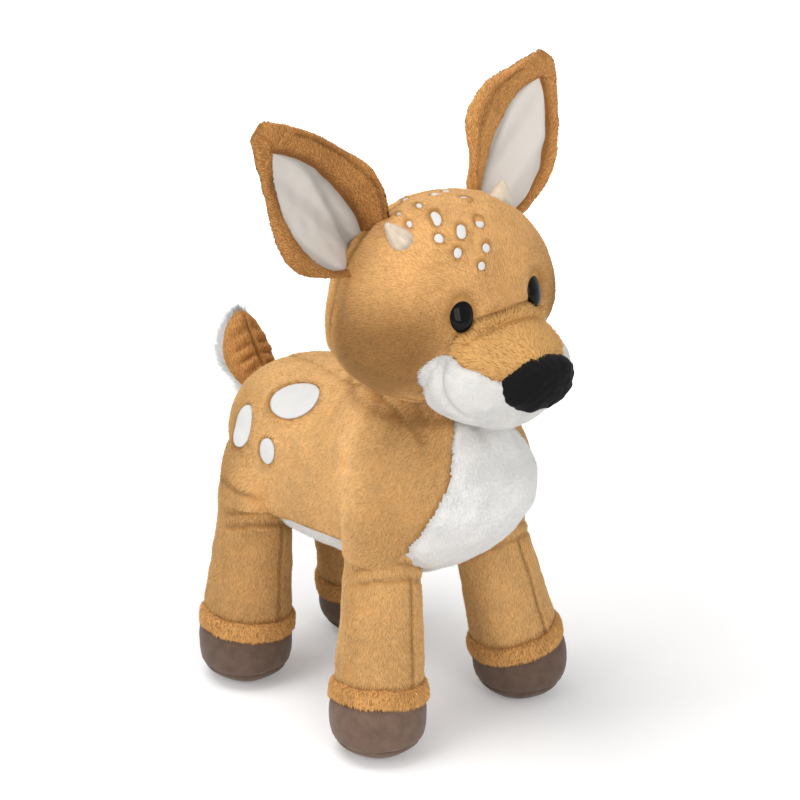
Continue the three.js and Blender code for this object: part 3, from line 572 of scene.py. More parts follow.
class Nodes:
    """A short way to write a node tree."""

    def __init__(self, tree):
        self.tree = tree

    def add(self, kind, settings=None, **inputs):
        """A node of a kind, with settings on the node and numbers, colours or links on its inputs."""
        node = self.tree.nodes.new(kind)
        for key, value in (settings or {}).items():
            setattr(node, key, value)
        for key, value in inputs.items():
            socket = node.inputs[key.replace("_", " ")]
            self.feed(socket, value)
        return node

    def feed(self, socket, value):
        """Links an output to a socket, or sets the socket to a number or colour."""
        if isinstance(value, bpy.types.NodeSocket):
            self.tree.links.new(value, socket)
        elif hasattr(value, "__len__") and len(value) == 3 and socket.type == "RGBA":
            socket.default_value = (*value, 1)
        else:
            socket.default_value = value

    def mix(self, factor, a, b, mode="MIX"):
        """A mix of two colours."""
        node = self.tree.nodes.new("ShaderNodeMix")
        node.data_type = "RGBA"
        node.blend_type = mode
        for index, value in ((0, factor), (6, a), (7, b)):
            self.feed(node.inputs[index], value)
        return node.outputs[2]

    def maths(self, operation, *values):
        """What an operation of the Math node, such as ADD, makes of its values."""
        node = self.tree.nodes.new("ShaderNodeMath")
        node.operation = operation
        for index, value in enumerate(values):
            self.feed(node.inputs[index], value)
        return node.outputs[0]

    def noise(self, place, scale, detail):
        """The value of a noise texture."""
        return self.add("ShaderNodeTexNoise", Vector=place, Scale=scale, Detail=detail).outputs["Fac"]

    def read(self, attribute):
        """One of the numbers that the mesh holds for each point."""
        return self.add("ShaderNodeAttribute", {"attribute_name": attribute}).outputs["Fac"]

    def swing(self, value, middle, amount):
        """How far a value is from its middle, times an amount."""
        return self.maths("MULTIPLY", self.maths("SUBTRACT", value, middle), amount)

    def seen(self):
        """1 where the camera sees the surface itself, in a mirror or through glass, and 0 where it
        lights."""
        path = self.add("ShaderNodeLightPath").outputs
        seen = self.maths("MAXIMUM", path["Is Camera Ray"], path["Is Glossy Ray"])
        return self.maths("MAXIMUM", seen, path["Is Transmission Ray"])


def node_group(name, inputs, outputs):
    """A new shader group with named sockets, given as (name, kind, default), and its tree's writer."""
    tree = bpy.data.node_groups.new(name, "ShaderNodeTree")
    for label, kind, default in inputs:
        socket = tree.interface.new_socket(label, in_out="INPUT", socket_type=kind)
        socket.default_value = default
    for label, kind in outputs:
        tree.interface.new_socket(label, in_out="OUTPUT", socket_type=kind)
    nodes = Nodes(tree)
    return tree, nodes, nodes.add("NodeGroupInput").outputs, nodes.add("NodeGroupOutput").inputs


dark_warming = (0.0, 0.12, 0.3)  # how much sooner red, green and blue darken in painted shade


def pile_colour_group():
    """Colour of pile: dark at the root, as painted shade deep in the pile, and light at the tip, uneven from
    tuft to tuft and in soft clouds, and darkened by the painted shade that each point holds."""
    tree, nodes, given, out = node_group(
        "Pile colour",
        [
            ("Root", "NodeSocketColor", (0.2, 0.1, 0.05, 1)),
            ("Tip", "NodeSocketColor", (0.8, 0.6, 0.4, 1)),
            ("Tuft unevenness", "NodeSocketFloat", 0.2),
            ("Cloud", "NodeSocketFloat", 0.2),
            ("Seam darkness", "NodeSocketFloat", 0.5),
            ("Warmth", "NodeSocketFloat", 1.0),
        ],
        [("Color", "NodeSocketColor")],
    )
    tip = nodes.read("pile_tip")
    chance = nodes.read("pile_chance")
    place = nodes.add("ShaderNodeTexCoord").outputs["Object"]
    cloud = nodes.noise(place, 26.0, 3.0)
    fleck = nodes.noise(place, 210.0, 2.0)
    base = nodes.mix(nodes.maths("POWER", tip, 0.6), given["Root"], given["Tip"])
    swing = nodes.swing(chance, 0.5, given["Tuft unevenness"])
    clouds = nodes.swing(cloud, 0.5, given["Cloud"])
    flecks = nodes.swing(fleck, 0.5, given["Cloud"])
    level = nodes.maths("ADD", nodes.maths("ADD", swing, clouds), nodes.maths("ADD", flecks, 1.0))
    # Painted shade, and painted light where it is below 0, from each point's shade value
    seam = nodes.read("shade")
    kept = nodes.maths("SUBTRACT", 1.0, nodes.maths("MULTIPLY", seam, given["Seam darkness"]))
    shades = []
    for warming in dark_warming:
        power = nodes.maths("ADD", 1.0, nodes.maths("MULTIPLY", given["Warmth"], warming))
        shades.append(nodes.maths("MULTIPLY", level, nodes.maths("POWER", kept, power)))
    tint = nodes.add("ShaderNodeCombineColor", Red=shades[0], Green=shades[1], Blue=shades[2]).outputs[0]
    nodes.feed(out["Color"], nodes.mix(1.0, base, tint, "MULTIPLY"))
    return tree


def cloth_grain_group():
    """Grain of smooth cloth: colour with fine flecks, soft mottling and painted shade, and a height for its bump.
    """
    tree, nodes, given, out = node_group(
        "Cloth grain",
        [
            ("Color", "NodeSocketColor", (0.8, 0.8, 0.8, 1)),
            ("Grain size", "NodeSocketFloat", 900.0),
            ("Mottle size", "NodeSocketFloat", 60.0),
            ("Mottle", "NodeSocketFloat", 0.2),
            ("Fold darkness", "NodeSocketFloat", 0.5),
        ],
        [("Color", "NodeSocketColor"), ("Height", "NodeSocketFloat")],
    )
    place = nodes.add("ShaderNodeTexCoord").outputs["Object"]
    grain = nodes.noise(place, given["Grain size"], 3.0)
    mottle = nodes.noise(place, given["Mottle size"], 3.0)
    both = nodes.maths("ADD", nodes.maths("MULTIPLY", grain, 0.5), mottle)
    swing = nodes.swing(both, 0.75, given["Mottle"])
    # Painted shade, and painted light where it is below 0, from each point's shade value
    fold = nodes.read("shade")
    kept = nodes.maths("SUBTRACT", 1.0, nodes.maths("MULTIPLY", fold, given["Fold darkness"]))
    level = nodes.maths("MULTIPLY", nodes.maths("ADD", swing, 1.0), kept)
    grey = nodes.add("ShaderNodeCombineColor", Red=level, Green=level, Blue=level).outputs[0]
    nodes.feed(out["Color"], nodes.mix(1.0, given["Color"], grey, "MULTIPLY"))
    nodes.feed(out["Height"], nodes.maths("ADD", grain, nodes.maths("MULTIPLY", mottle, 0.4)))
    return tree


def group_named(name, build):
    return bpy.data.node_groups.get(name) or build()


def bare_material(name):
    """A material with an empty node tree, and its writer."""
    material = bpy.data.materials.new(name)
    material.use_nodes = True
    material.node_tree.nodes.clear()
    return material, Nodes(material.node_tree)


def new_material(name, colour, roughness, sheen, sheen_tint, specular, coat=0.0):
    """A material with a Principled shader whose even values are set on its own sockets."""
    material, nodes = bare_material(name)
    material.diffuse_color = (*colour, 1)
    shader = nodes.add("ShaderNodeBsdfPrincipled", Roughness=roughness, Base_Color=colour)
    shader.inputs["Specular IOR Level"].default_value = specular
    shader.inputs["Sheen Weight"].default_value = sheen
    shader.inputs["Sheen Roughness"].default_value = 0.45
    shader.inputs["Sheen Tint"].default_value = (*sheen_tint, 1)
    shader.inputs["Coat Weight"].default_value = coat
    output = nodes.add("ShaderNodeOutputMaterial")
    nodes.feed(output.inputs["Surface"], shader.outputs[0])
    return material, nodes, shader


def group_node(nodes, tree, **inputs):
    node = nodes.add("ShaderNodeGroup", {"node_tree": tree})
    for key, value in inputs.items():
        nodes.feed(node.inputs[key.replace("_", " ")], value)
    return node.outputs


def pile_material(name, colour, unevenness=0.14, cloud=0.4, sheen=0.25, painted_shade=0.55, warmth=1.0):
    """Matt pile with a soft sheen of its own colour, whose painted shade turns warmer."""
    found = bpy.data.materials.get(name)
    if found:
        return found
    root, tip = getattr(colours(), colour + "_root"), getattr(colours(), colour + "_tip")
    material, nodes, shader = new_material(name, tip, 0.9, sheen, tuple(tip), 0.15)
    group = group_named("Pile colour", pile_colour_group)
    made = group_node(
        nodes, group, Root=root, Tip=tip, Tuft_unevenness=unevenness, Cloud=cloud, Seam_darkness=painted_shade,
        Warmth=warmth,
    )
    nodes.feed(shader.inputs["Base Color"], made["Color"])
    return material


def grained_material(
    name, colour, roughness, grain, mottle_size, mottle, bump, sheen=0.0, specular=0.3, coat=0.0
):
    """Smooth cloth, suede or fibre with a fine grain."""
    found = bpy.data.materials.get(name)
    if found:
        return found
    colour = getattr(colours(), colour)
    material, nodes, shader = new_material(name, colour, roughness, sheen, (1, 1, 1), specular, coat)
    group = group_named("Cloth grain", cloth_grain_group)
    made = group_node(nodes, group, Color=colour, Grain_size=grain, Mottle_size=mottle_size, Mottle=mottle)
    nodes.feed(shader.inputs["Base Color"], made["Color"])
    raised = nodes.add("ShaderNodeBump", Strength=0.6, Distance=bump, Height=made["Height"])
    nodes.feed(shader.inputs["Normal"], raised.outputs[0])
    return material


# Finishes: each is a material and the name of its slot


def tan_pile():
    return pile_material("Tan pile", "tan"), "tan_pile"


def head_pile():
    return pile_material("Head tan pile", "head"), "tan_pile"


def bright_pile():
    material = pile_material("Bright tan pile", "bright", unevenness=0.2, cloud=0.25)
    return material, "bright_pile"


def cuff_pile():
    material = pile_material("Cuff tan pile", "cuff", unevenness=0.45, cloud=0.4)
    return material, "tan_pile"


def ear_pile():
    material = pile_material("Ear tan pile", "ear", unevenness=0.35, cloud=0.45)
    return material, "tan_pile"


def white_pile():
    material = pile_material(
        "White pile", "white", unevenness=0.08, cloud=0.06, sheen=0.1, painted_shade=0.25, warmth=0.15
    )
    return material, "white_pile"


def patch_cloth():
    material = grained_material(
        "Patch cloth", "patch", roughness=0.8, grain=1400.0, mottle_size=70.0, mottle=0.05,
        bump=0.12 * mm, sheen=0.1,
    )
    return material, "patch_cloth"


def lining_cloth():
    material = grained_material(
        "Ear lining cloth", "lining", roughness=0.75, grain=1100.0, mottle_size=45.0, mottle=0.12,
        bump=0.2 * mm, sheen=0.2,
    )
    return material, "ear_lining_cloth"


def satin():
    material = grained_material(
        "Satin", "satin", roughness=0.36, grain=1500.0, mottle_size=160.0, mottle=0.3,
        bump=0.1 * mm, sheen=0.1, specular=0.6, coat=0.1,
    )
    return material, "satin"


def suede():
    material = grained_material(
        "Suede", "suede", roughness=0.9, grain=1300.0, mottle_size=120.0, mottle=0.75,
        bump=0.3 * mm, sheen=0.2, specular=0.15,
    )
    return material, "hoof_suede"


def nose_cloth():
    material = grained_material(
        "Nose cloth", "nose", roughness=0.8, grain=1200.0, mottle_size=120.0, mottle=0.5,
        bump=0.2 * mm, sheen=0.02, specular=0.12,
    )
    return material, "nose_cloth"


def eye_gloss():
    material = grained_material(
        "Eye gloss", "eye", roughness=0.05, grain=300.0, mottle_size=90.0, mottle=0.2,
        bump=0.001 * mm, specular=0.1,
    )
    return material, "eye_gloss"


# Finishes of the frame's own pieces, whose slots stay as they are


def washer_plastic():
    return grained_material(
        "Washer plastic", "plastic", roughness=0.5, grain=700.0, mottle_size=120.0, mottle=0.1,
        bump=0.05 * mm,
    )


def fibre():
    return grained_material(
        "Fibre", "fibre", roughness=0.95, grain=350.0, mottle_size=60.0, mottle=0.25,
        bump=0.6 * mm,
    )


def body_look(**changes):
    s = sizes()
    return {"length": s.pile_length, "width": s.tuft_width, "lift": usual_lift, **changes}


# Torso

torso_squareness = 2.3
torso_end_squareness = 3.1
# Place along the torso, half width, top and bottom, the last two counted up from the belly
torso_shares = [
    [0, 0.86, 0.84, 0.3],
    [0.12, 0.9, 0.98, 0.12],
    [0.25, 0.95, 1.1, 0.02],
    [0.36, 0.95, 1.12, 0],
    [0.5, 0.92, 1.04, 0],
    [0.65, 0.92, 0.97, 0],
    [0.8, 0.95, 0.95, 0.01],
    [0.92, 0.94, 0.94, 0.06],
    [1, 0.9, 0.86, 0.14],
]
torso_curve = curve_through(torso_shares)
# Place along the torso and how far out of the middle the back's two seams run there
back_seam_shares = np.array([[0.3, 0.62], [0.515, 0.45], [0.655, 0.225], [0.79, 0.06], [0.885, 0.01]])
# Height between the belly and the chest panel's top, and its half width there
panel_shares = np.array([
    [0.2, 0.9], [0.36, 0.95], [0.5, 0.93], [0.65, 0.84], [0.8, 0.66], [0.9, 0.5], [1, 0.28],
])
panel_top_gap = 7 * mm  # below the torso's top
chest_depth = 95 * mm  # how far back the panel's chest part reaches
strip_end_gap = 46 * mm  # from the belly strip's end to the rump
patch_reach = 25 * mm  # how far behind a patch its oval still counts
leg_top_gap = 0.5 * mm  # between a leg's cover and the torso's
neck_gap = 2.6 * mm  # between the neck's ball and the torso's cover
collar = 54 * mm  # radius of the crease round the neck
head_room = 1.03  # how much larger than the head's egg the space is that the torso's pile keeps clear
tail_room = 13 * mm  # radius of the space round the tail's root that it keeps clear
patch_start = 60 * mm  # how far out a patch starts before it drops onto the torso
patch_travel = 110 * mm  # the most that it drops
halvings = 30  # of the span between outside and inside, when a piece drops onto a form
# Each patch's place across, back along and up the torso, its length and height as shares of the torso's half
# width, and the degrees that it faces rearward and upward and that its front end is raised
patches = {
    "large": (0.684, 0.648, 0.853, 0.645, 0.4, 0, 45, 16),
    "rear": (0.816, 0.817, 0.633, 0.276, 0.421, 22, 12, 8),
    "small": (0.895, 0.696, 0.567, 0.211, 0.263, 0, 8, 0),
}


def torso_ends():
    """The foremost y of the chest, and the belly's height."""
    s, neck = sizes(), places()["neck"]
    return neck[1] - s.neck_setback, neck[2] - s.neck_above_belly


def torso_section(along):
    """Half width, middle height and half height of the torso at a share of its length, drawn in at both
    ends."""
    s, belly = sizes(), torso_ends()[1]
    top = belly + torso_curve(along, 1) * s.torso_height
    bottom = belly + torso_curve(along, 2) * s.torso_height
    full = (1 - np.abs(2 * along - 1) ** torso_end_squareness) ** (1 / torso_end_squareness)
    return torso_curve(along, 0) * s.torso_half_width * full, (top + bottom) / 2, (top - bottom) / 2 * full


def torso_level(points):
    """Less than 0 inside the torso's barrel and more than 0 outside it."""
    along = np.clip((points[..., 1] - torso_ends()[0]) / sizes().torso_length, 1e-4, 1 - 1e-4)
    half_width, middle, half_height = torso_section(along)
    across = np.abs(points[..., 0]) / half_width
    up = np.abs(points[..., 2] - middle) / half_height
    return across**torso_squareness + up**torso_squareness - 1


def dropped_onto(level, points, direction, reach):
    """Points moved along a direction until they meet a form, by halving the span between outside and
    inside."""
    low, high = np.zeros(points.shape[:-1]), np.full(points.shape[:-1], reach)
    for _ in range(halvings):
        middle = (low + high) / 2
        outside = level(points + direction * middle[..., None]) > 0
        low, high = np.where(outside, middle, low), np.where(outside, high, middle)
    return points + direction * high[..., None]


def panel_depth(points):
    """How far points lie inside the white panel: the least distance to the edges of its chest part or belly
    strip."""
    s = sizes()
    chest_y, belly = torso_ends()
    x, y, z = np.abs(points[..., 0]), points[..., 1], points[..., 2]
    top = belly + s.torso_height - panel_top_gap
    half = np.interp((z - belly) / (top - belly), *panel_shares.T) * s.panel_half_width
    chest = least(half - x, top - z, chest_y + chest_depth - y)
    round_end = chest_y + s.torso_length - strip_end_gap - s.strip_half_width
    past_end = np.maximum(y - round_end, 0)
    strip = np.minimum(s.strip_half_width - np.hypot(x, past_end), belly + s.torso_height / 5 - z)
    return np.maximum(chest, strip)


def patch_frame(name, side):
    """A patch's middle, its half sizes and the directions along it, up it and out of it."""
    s = sizes()
    chest_y, belly = torso_ends()
    across, back, up_share, long_share, high_share, rearward, upward, raised = patches[name]
    middle = np.array([
        side * across * s.torso_half_width,
        chest_y + back * s.torso_length,
        belly + up_share * s.torso_height,
    ])
    back_turn, rise, tilt = np.radians([rearward, upward, -side * raised])
    facing = np.array([
        side * np.cos(rise) * np.cos(back_turn), np.cos(rise) * np.sin(back_turn), np.sin(rise)
    ])
    level_way = unit(np.cross(z_axis, facing))
    up_way = np.cross(facing, level_way)
    along = level_way * np.cos(tilt) + up_way * np.sin(tilt)
    up = up_way * np.cos(tilt) - level_way * np.sin(tilt)
    half = np.array([long_share, high_share]) * s.torso_half_width / 2
    return middle, half, along, up, facing


def patch_gap(points):
    """How far points lie outside the nearest patch's oval, less than 0 on it."""
    gaps = []
    for name in patches:
        for side in sides.values():
            middle, half, along, up, facing = patch_frame(name, side)
            gaps.append(oval_gap(points - middle, along, up, facing, half, half.mean(), patch_reach))
    return least(far, *gaps)


def over_legs(points):
    """The torso's sides raised level with the top of each leg: each x is the larger of its own and of the
    leg's column, whose half width at that place is the third side of a right triangle."""
    radius = sizes().leg_top_radius + leg_top_gap
    points = points.copy()
    for ball, middle in leg_columns(points):
        side = np.sign(ball[0])
        rise = np.maximum(points[..., 2] - ball[2], 0)
        square = radius**2 - (points[..., 1] - middle[..., 1]) ** 2 - (0.45 * rise) ** 2
        reach = side * middle[..., 0] + np.sqrt(np.maximum(square, 0))
        own = side * points[..., 0]
        fade = smooth_step(points[..., 2], ball[2] - 10 * mm, ball[2] + 2 * mm) * (own > 0)
        raised = np.maximum(smooth_larger(own, reach, 12 * mm), own)
        points[..., 0] += side * fade * smooth_step(square, 0, (17 * mm) ** 2) * (raised - own)
    return points


def over_neck(points):
    """The torso's top raised just clear of the neck's ball where the ball stands out beside the head."""
    away = points - places()["neck"]
    reach = np.linalg.norm(away, axis=-1, keepdims=True)
    rise = away[..., 2:] / reach
    wanted = np.maximum(sizes().neck_radius + neck_gap - reach, 0)
    return points + away / reach * wanted * smooth_step(rise, 0.97, 0.88) * smooth_step(rise, -0.3, 0.0)


def leg_gap(points):
    """How far points lie outside the nearest leg's column, seen from above."""
    gaps = []
    for _, middle in leg_columns(points):
        away = np.hypot(points[..., 0] - middle[..., 0], points[..., 1] - middle[..., 1])
        gaps.append(away - sizes().leg_top_radius)
    return least(far, *gaps)


def torso_skin(rings=120, columns=170):
    """The barrel: rings of a squared oval whose half width, top and bottom follow curves along the
    torso."""
    s, neck = sizes(), places()["neck"]
    along, angle = eased(rings + 1), circle(columns)
    half_width, middle, half_height = torso_section(along)
    points = np.stack([
        half_width * bulge(np.cos(angle), torso_squareness),
        np.broadcast_to(torso_ends()[0] + along * s.torso_length, (rings + 1, columns)),
        middle - half_height * bulge(np.sin(angle), torso_squareness),
    ], -1)
    raised = over_neck(over_legs(points))
    x, y, z = np.abs(points[..., 0]), points[..., 1], points[..., 2]
    seam_out = np.interp(along, *back_seam_shares.T) * s.torso_half_width
    on_back = smooth_step(z - middle, 20 * mm, 50 * mm)
    fields = {
        "panel": np.minimum(panel_depth(raised), leg_gap(raised)),
        "patch": patch_gap(raised),
        "back": np.abs(x - seam_out) + 20 * mm * (1 - on_back),
    }
    skin = Skin(raised, fields=fields)
    height, dark = torso_relief(points, x, y, z, fields, neck)
    fields["shade"] = np.clip(dark, -0.3, 1)
    return skin.push(np.maximum(height, deepest))


def torso_relief(points, x, y, z, fields, neck):
    """How high each point of the torso's cover stands and how much painted shade it has: folds in waves round
    the neck, a crease round the collar, bell curves across each seam and muscle, and soft unevenness."""
    panel, patch, back = fields["panel"], fields["patch"], fields["back"]
    behind = y - neck[1]
    around = points - neck
    spread = np.hypot(around[..., 0], around[..., 1])
    bearing = np.arctan2(around[..., 0], around[..., 1])
    near_neck = smooth_step(spread, 92 * mm, 60 * mm) * smooth_step(z, 0.22, 0.26)
    folds = np.sin(bearing * 9 + 0.6 + 25 * (spread - 0.06)) ** 3
    ring = groove(spread - collar, 3 * mm) * smooth_step(z, 0.21, 0.25)
    side = smooth_step(x, 30 * mm, 60 * mm)
    shoulder = groove(behind + 3 * mm, 26 * mm) * smooth_step(z, 0.15, 0.19)
    flank = groove(behind - 52 * mm, 26 * mm)
    haunch = groove(z - 168 * mm - 0.25 * (y - 90 * mm), 2 * mm)
    haunch = haunch * smooth_step(y, 62 * mm, 80 * mm) * smooth_step(x, 40 * mm, 60 * mm)

    height = -pile_depth - 1.5 * mm * groove(back, 2.4 * mm) - 1.4 * mm * ring
    height += side * (4 * mm * shoulder - mm * flank)
    height -= 1.2 * mm * side * smooth_step(y, 80 * mm, 110 * mm)
    height -= 1.7 * mm * groove(panel, 2.6 * mm)
    height += 1.2 * mm * groove(patch - 3 * mm, 2.5 * mm)
    height += 1.8 * mm * near_neck * (folds + 0.3)
    height += 0.9 * mm * ripple(points, 70 * mm, 3) + 0.4 * mm * ripple(points, 28 * mm, 4)
    height = np.where(patch < 1 * mm, np.minimum(height, -2 * mm), height)
    height -= 1.2 * mm * haunch

    # Painted shade in the back seam, the collar's crease, the neck's folds, round the panel and the patches, in
    # the haunch's crease, under the head, over the rump and over the breast off the panel; painted light along the
    # shoulder's ridge
    sunlit = groove(behind - 9 * mm, 9 * mm) * side * smooth_step(z, 0.15, 0.2)
    under_head = groove(behind + 24 * mm, 14 * mm) * smooth_step(z, 0.215, 0.26)
    rump = smooth_step(y, 60 * mm, 105 * mm) * (0.3 + 0.7 * side)
    breast = smooth_step(behind, 2 * mm, -26 * mm) * smooth_step(x, 15 * mm, 40 * mm)
    dark = 0.6 * groove(back, 1.3 * mm) + 0.5 * ring + groove(patch - 0.6 * mm, 1.8 * mm)
    dark += 0.25 * near_neck * smooth_step(-folds, 0.1, 0.9) + 0.5 * groove(panel, 1.5 * mm) + 0.8 * haunch
    off_panel = smooth_step(panel, 3 * mm, -1 * mm)
    dark += 0.22 * under_head - 0.25 * sunlit + 0.55 * rump + 0.42 * breast * off_panel
    return height, dark


torso_nap = steady(0, 0.6, -0.8)  # back and down
chest_nap = steady(0, 0.5, -1.0)  # down, and back along the belly


def add_torso():
    skin = torso_skin()
    panel, patch = skin.fields["panel"], skin.fields["patch"]
    tan, white = tan_pile(), white_pile()
    cloth("torso_cover_cloth", skin, "torso", tan, ["torso_cover"], -panel)
    cloth("chest_panel_cloth", skin, "torso", white, ["chest_belly_panel"], panel)
    back_seam = skin.fields["back"] - seam_strip
    bare = least(-panel - seam_strip, patch - 0.4 * mm, back_seam)

    def outside(tips):
        """Clear of the head and of the tail's root."""
        from_head = np.sqrt((((tips - places()["head"]) / halves("head")) ** 2).sum(-1)) - head_room
        from_tail = np.linalg.norm(tips - pivots["tail_bend"], axis=-1) - tail_room
        return np.minimum(from_head, from_tail)

    def off_white(tips):
        return least(patch_gap(tips) - 0.1 * mm, 0.6 * mm - panel_depth(tips), outside(tips))

    def on_white(tips):
        return least(panel_depth(tips) + 0.8 * mm, leg_gap(tips) + 0.5 * mm, outside(tips))

    pile("torso_pile", skin, "torso", tan, torso_nap, body_look(), bare, seed=11, clear=off_white)
    look = body_look(**chest_tufts)
    pile("chest_pile", skin, "torso", white, chest_nap, look, panel - panel_strip, seed=12, clear=on_white)
    for name in patches:
        for side_name, side in sides.items():
            add_patch(name, side_name, side)


def add_patch(name, side_name, side):
    """A patch as rings of an oval dropped onto the torso's side, slightly crowned and sunk under the
    pile."""
    middle, half, along, up, facing = patch_frame(name, side)
    share, angle = np.linspace(0, 1, 14)[:, None] ** 0.8, circle(64)
    start = (
        middle
        + (share * np.cos(angle))[..., None] * along * half[0]
        + (share * np.sin(angle))[..., None] * up * half[1]
        + patch_start * facing
    )
    points = over_legs(dropped_onto(torso_level, start, -facing, patch_travel))
    crown = -0.8 * mm + 0.5 * mm * (1 - share**2) + 0 * angle
    wrinkle = 0.25 * mm * ripple(points, 14 * mm, 21)
    points = moved(points, (crown + wrinkle, facing))
    rim = points[-1:] - facing * 1.4 * mm
    skin = Skin(np.concatenate([points, rim]), outward=facing, poles="first")
    node = f"rump_patch_{name}_{side_name}"
    cloth(node + "_cloth", skin, "torso", patch_cloth(), [node], thickness=1.2 * mm)


# Head and muzzle

seam_tilt = np.radians(15)
spot_reach = 12 * mm  # how far behind a spot its oval still counts
crown_radius = 75 * mm  # of the head where the spots lie
seam_fade = (-2 * mm, 4 * mm)  # heights about the muzzle's side seam over which its arch begins
nose_squareness = 2.3
eye_across, eye_up, eye_sunk = 37 * mm, 8.5 * mm, 8.0 * mm
eye_aim = (18, 20)  # degrees outward and up
# Forehead spots in millimetres: place across, back and up from the head's middle, half width, half height
forehead_spots = [
    (-26, -2, 75, 2.2, 4.2), (-28, -21, 70, 4.2, 8.2), (8, -16, 75, 4.8, 4.4), (0, -37, 65, 4.4, 5.6),
    (-19, -38, 62, 4.2, 6.4), (-38, -34, 60, 3.4, 4.8), (-31, -46, 51, 3.2, 4.4), (-7, -51, 50, 3.3, 4.2),
    (-17, -56, 40, 2.8, 3.4), (-40, 4, 70, 1.8, 2.8), (-45, -11, 68, 2.0, 3.4), (-16, 22, 72, 2.0, 3.4),
    (-4, 3, 77, 3.4, 3.4), (7, 3, 77, 2.6, 3.4),
]


def above_seam(points):
    """Height over the sloping plane of the seam between the muzzle's tan and white panels."""
    muzzle = places()["muzzle"]
    away = points - (muzzle + np.array([0, -37, 11]) * mm)
    return away[..., 2] * np.cos(seam_tilt) - away[..., 1] * np.sin(seam_tilt)


def egg_reach(origin, directions, middle, half):
    """How far a ray from an origin runs before it leaves an egg: the larger root of a quadratic, or 0 where
    it misses."""
    start, step = (origin - middle) / half, directions / half
    a = (step**2).sum(-1)
    b = (start * step).sum(-1)
    c = (start**2).sum(-1) - 1
    inside = b * b - a * c
    return np.where(inside > 0, (-b + np.sqrt(np.maximum(inside, 0))) / a, 0)


def head_reach(ways):
    """How far the head goes each way from its middle: its own egg's reach, the muzzle egg's, and the larger
    of the two, rounded where they meet."""
    place = places()
    plain = egg_reach(place["head"], ways, place["head"], halves("head"))
    snout = egg_reach(place["head"], ways, place["muzzle"], halves("muzzle"))
    return plain, snout, np.maximum(smooth_larger(plain, snout, 10 * mm), plain)


def halves(part):
    """Half the width, depth and height of the head, the muzzle or the nose."""
    return np.array([getattr(sizes(), f"{part}_half_{way}") for way in ("width", "depth", "height")])


def sphere_ways(rings, columns):
    """Directions in rings from straight up to straight down."""
    polar = np.linspace(0, np.pi, rings + 1)[:, None]
    around = circle(columns)
    return np.stack([
        np.sin(polar) * np.cos(around), np.sin(polar) * np.sin(around), np.cos(polar) + 0 * around
    ], -1)


def eye_places():
    """The middle of each eye's rim and the direction that it looks."""
    s, head = sizes(), places()["head"]
    level = 1 - (eye_across / s.head_half_width) ** 2 - (eye_up / s.head_half_height) ** 2
    reach = s.head_half_depth * np.sqrt(level)
    turn, rise = np.radians(eye_aim)
    for name, side in sides.items():
        middle = head + np.array([side * eye_across, -reach + eye_sunk, eye_up])
        facing = [side * np.sin(turn) * np.cos(rise), -np.cos(turn) * np.cos(rise), np.sin(rise)]
        yield name, middle, np.array(facing)


def eye_gap(points):
    """How far points lie outside the nearest eye's oval, less than 0 on it."""
    s = sizes()
    gaps = []
    for _, eye, facing in eye_places():
        away = points - eye
        level = away - (away @ facing)[..., None] * facing
        wide = np.hypot(level[..., 0], level[..., 1]) / s.eye_half_width
        oval = np.hypot(wide, level[..., 2] / s.eye_half_height)
        gaps.append(np.where(np.abs(away @ facing) < 20 * mm, (oval - 1) * s.eye_half_width, far))
    return least(far, *gaps)


def spot_places():
    """Each forehead spot's middle on the head, the ways across, along and out of it, and its half sizes."""
    head, half = places()["head"], halves("head")
    for x, y, z, half_width, half_height in forehead_spots:
        way = unit(np.array([x, y, z]) * mm)
        middle = head + way * egg_reach(head, way, head, half)
        out = unit((middle - head) / half**2)
        forward = np.array([-0.55, -0.8, 0.0])
        along = unit(forward - out * (forward @ out))
        yield middle, np.cross(along, out), along, out, half_width * mm, half_height * mm


def spot_gap(points):
    """How far points lie outside the nearest forehead spot's oval, less than 0 on it."""
    gaps = []
    for middle, across, along, out, *half in spot_places():
        gaps.append(oval_gap(points - middle, across, along, out, half, half[0], spot_reach))
    return least(far, *gaps)


def bright_depth(points):
    """How far points lie inside the muzzle's bright top panel, whose upper edge is an arch between the
    eyes."""
    muzzle = places()["muzzle"]
    x, z = np.abs(points[..., 0]), points[..., 2]
    half, rise = 50 * mm, 28 * mm
    arch = muzzle[2] + 22 * mm + rise * np.maximum(1 - (x / half) ** 2.6, 0) ** (1 / 2.6)
    front = muzzle[1] + 22 * mm - points[..., 1]
    return least(arch - z, above_seam(points), half - x, front)


def white_depth(points):
    """How far points lie inside the white muzzle: under the seam, which rises a little toward the lobes,
    and ahead of the lobes' round rear ends, or where the muzzle stands well out from the head."""
    place = places()
    back, up = points[..., 1] - place["muzzle"][1], points[..., 2] - place["muzzle"][2]
    lift = 3.2 * mm * smooth_step(back, -38 * mm, -26 * mm)
    lift = lift + 1.6 * mm * smooth_step(back, -14 * mm, -3 * mm)
    rear = 12 * mm - (up - 2 * mm) ** 2 / (40 * mm) - back
    plain, _, both = head_reach(unit(points - place["head"]))
    return np.minimum(lift - above_seam(points), smooth_larger(rear, both - plain - 3.5 * mm, 8 * mm))


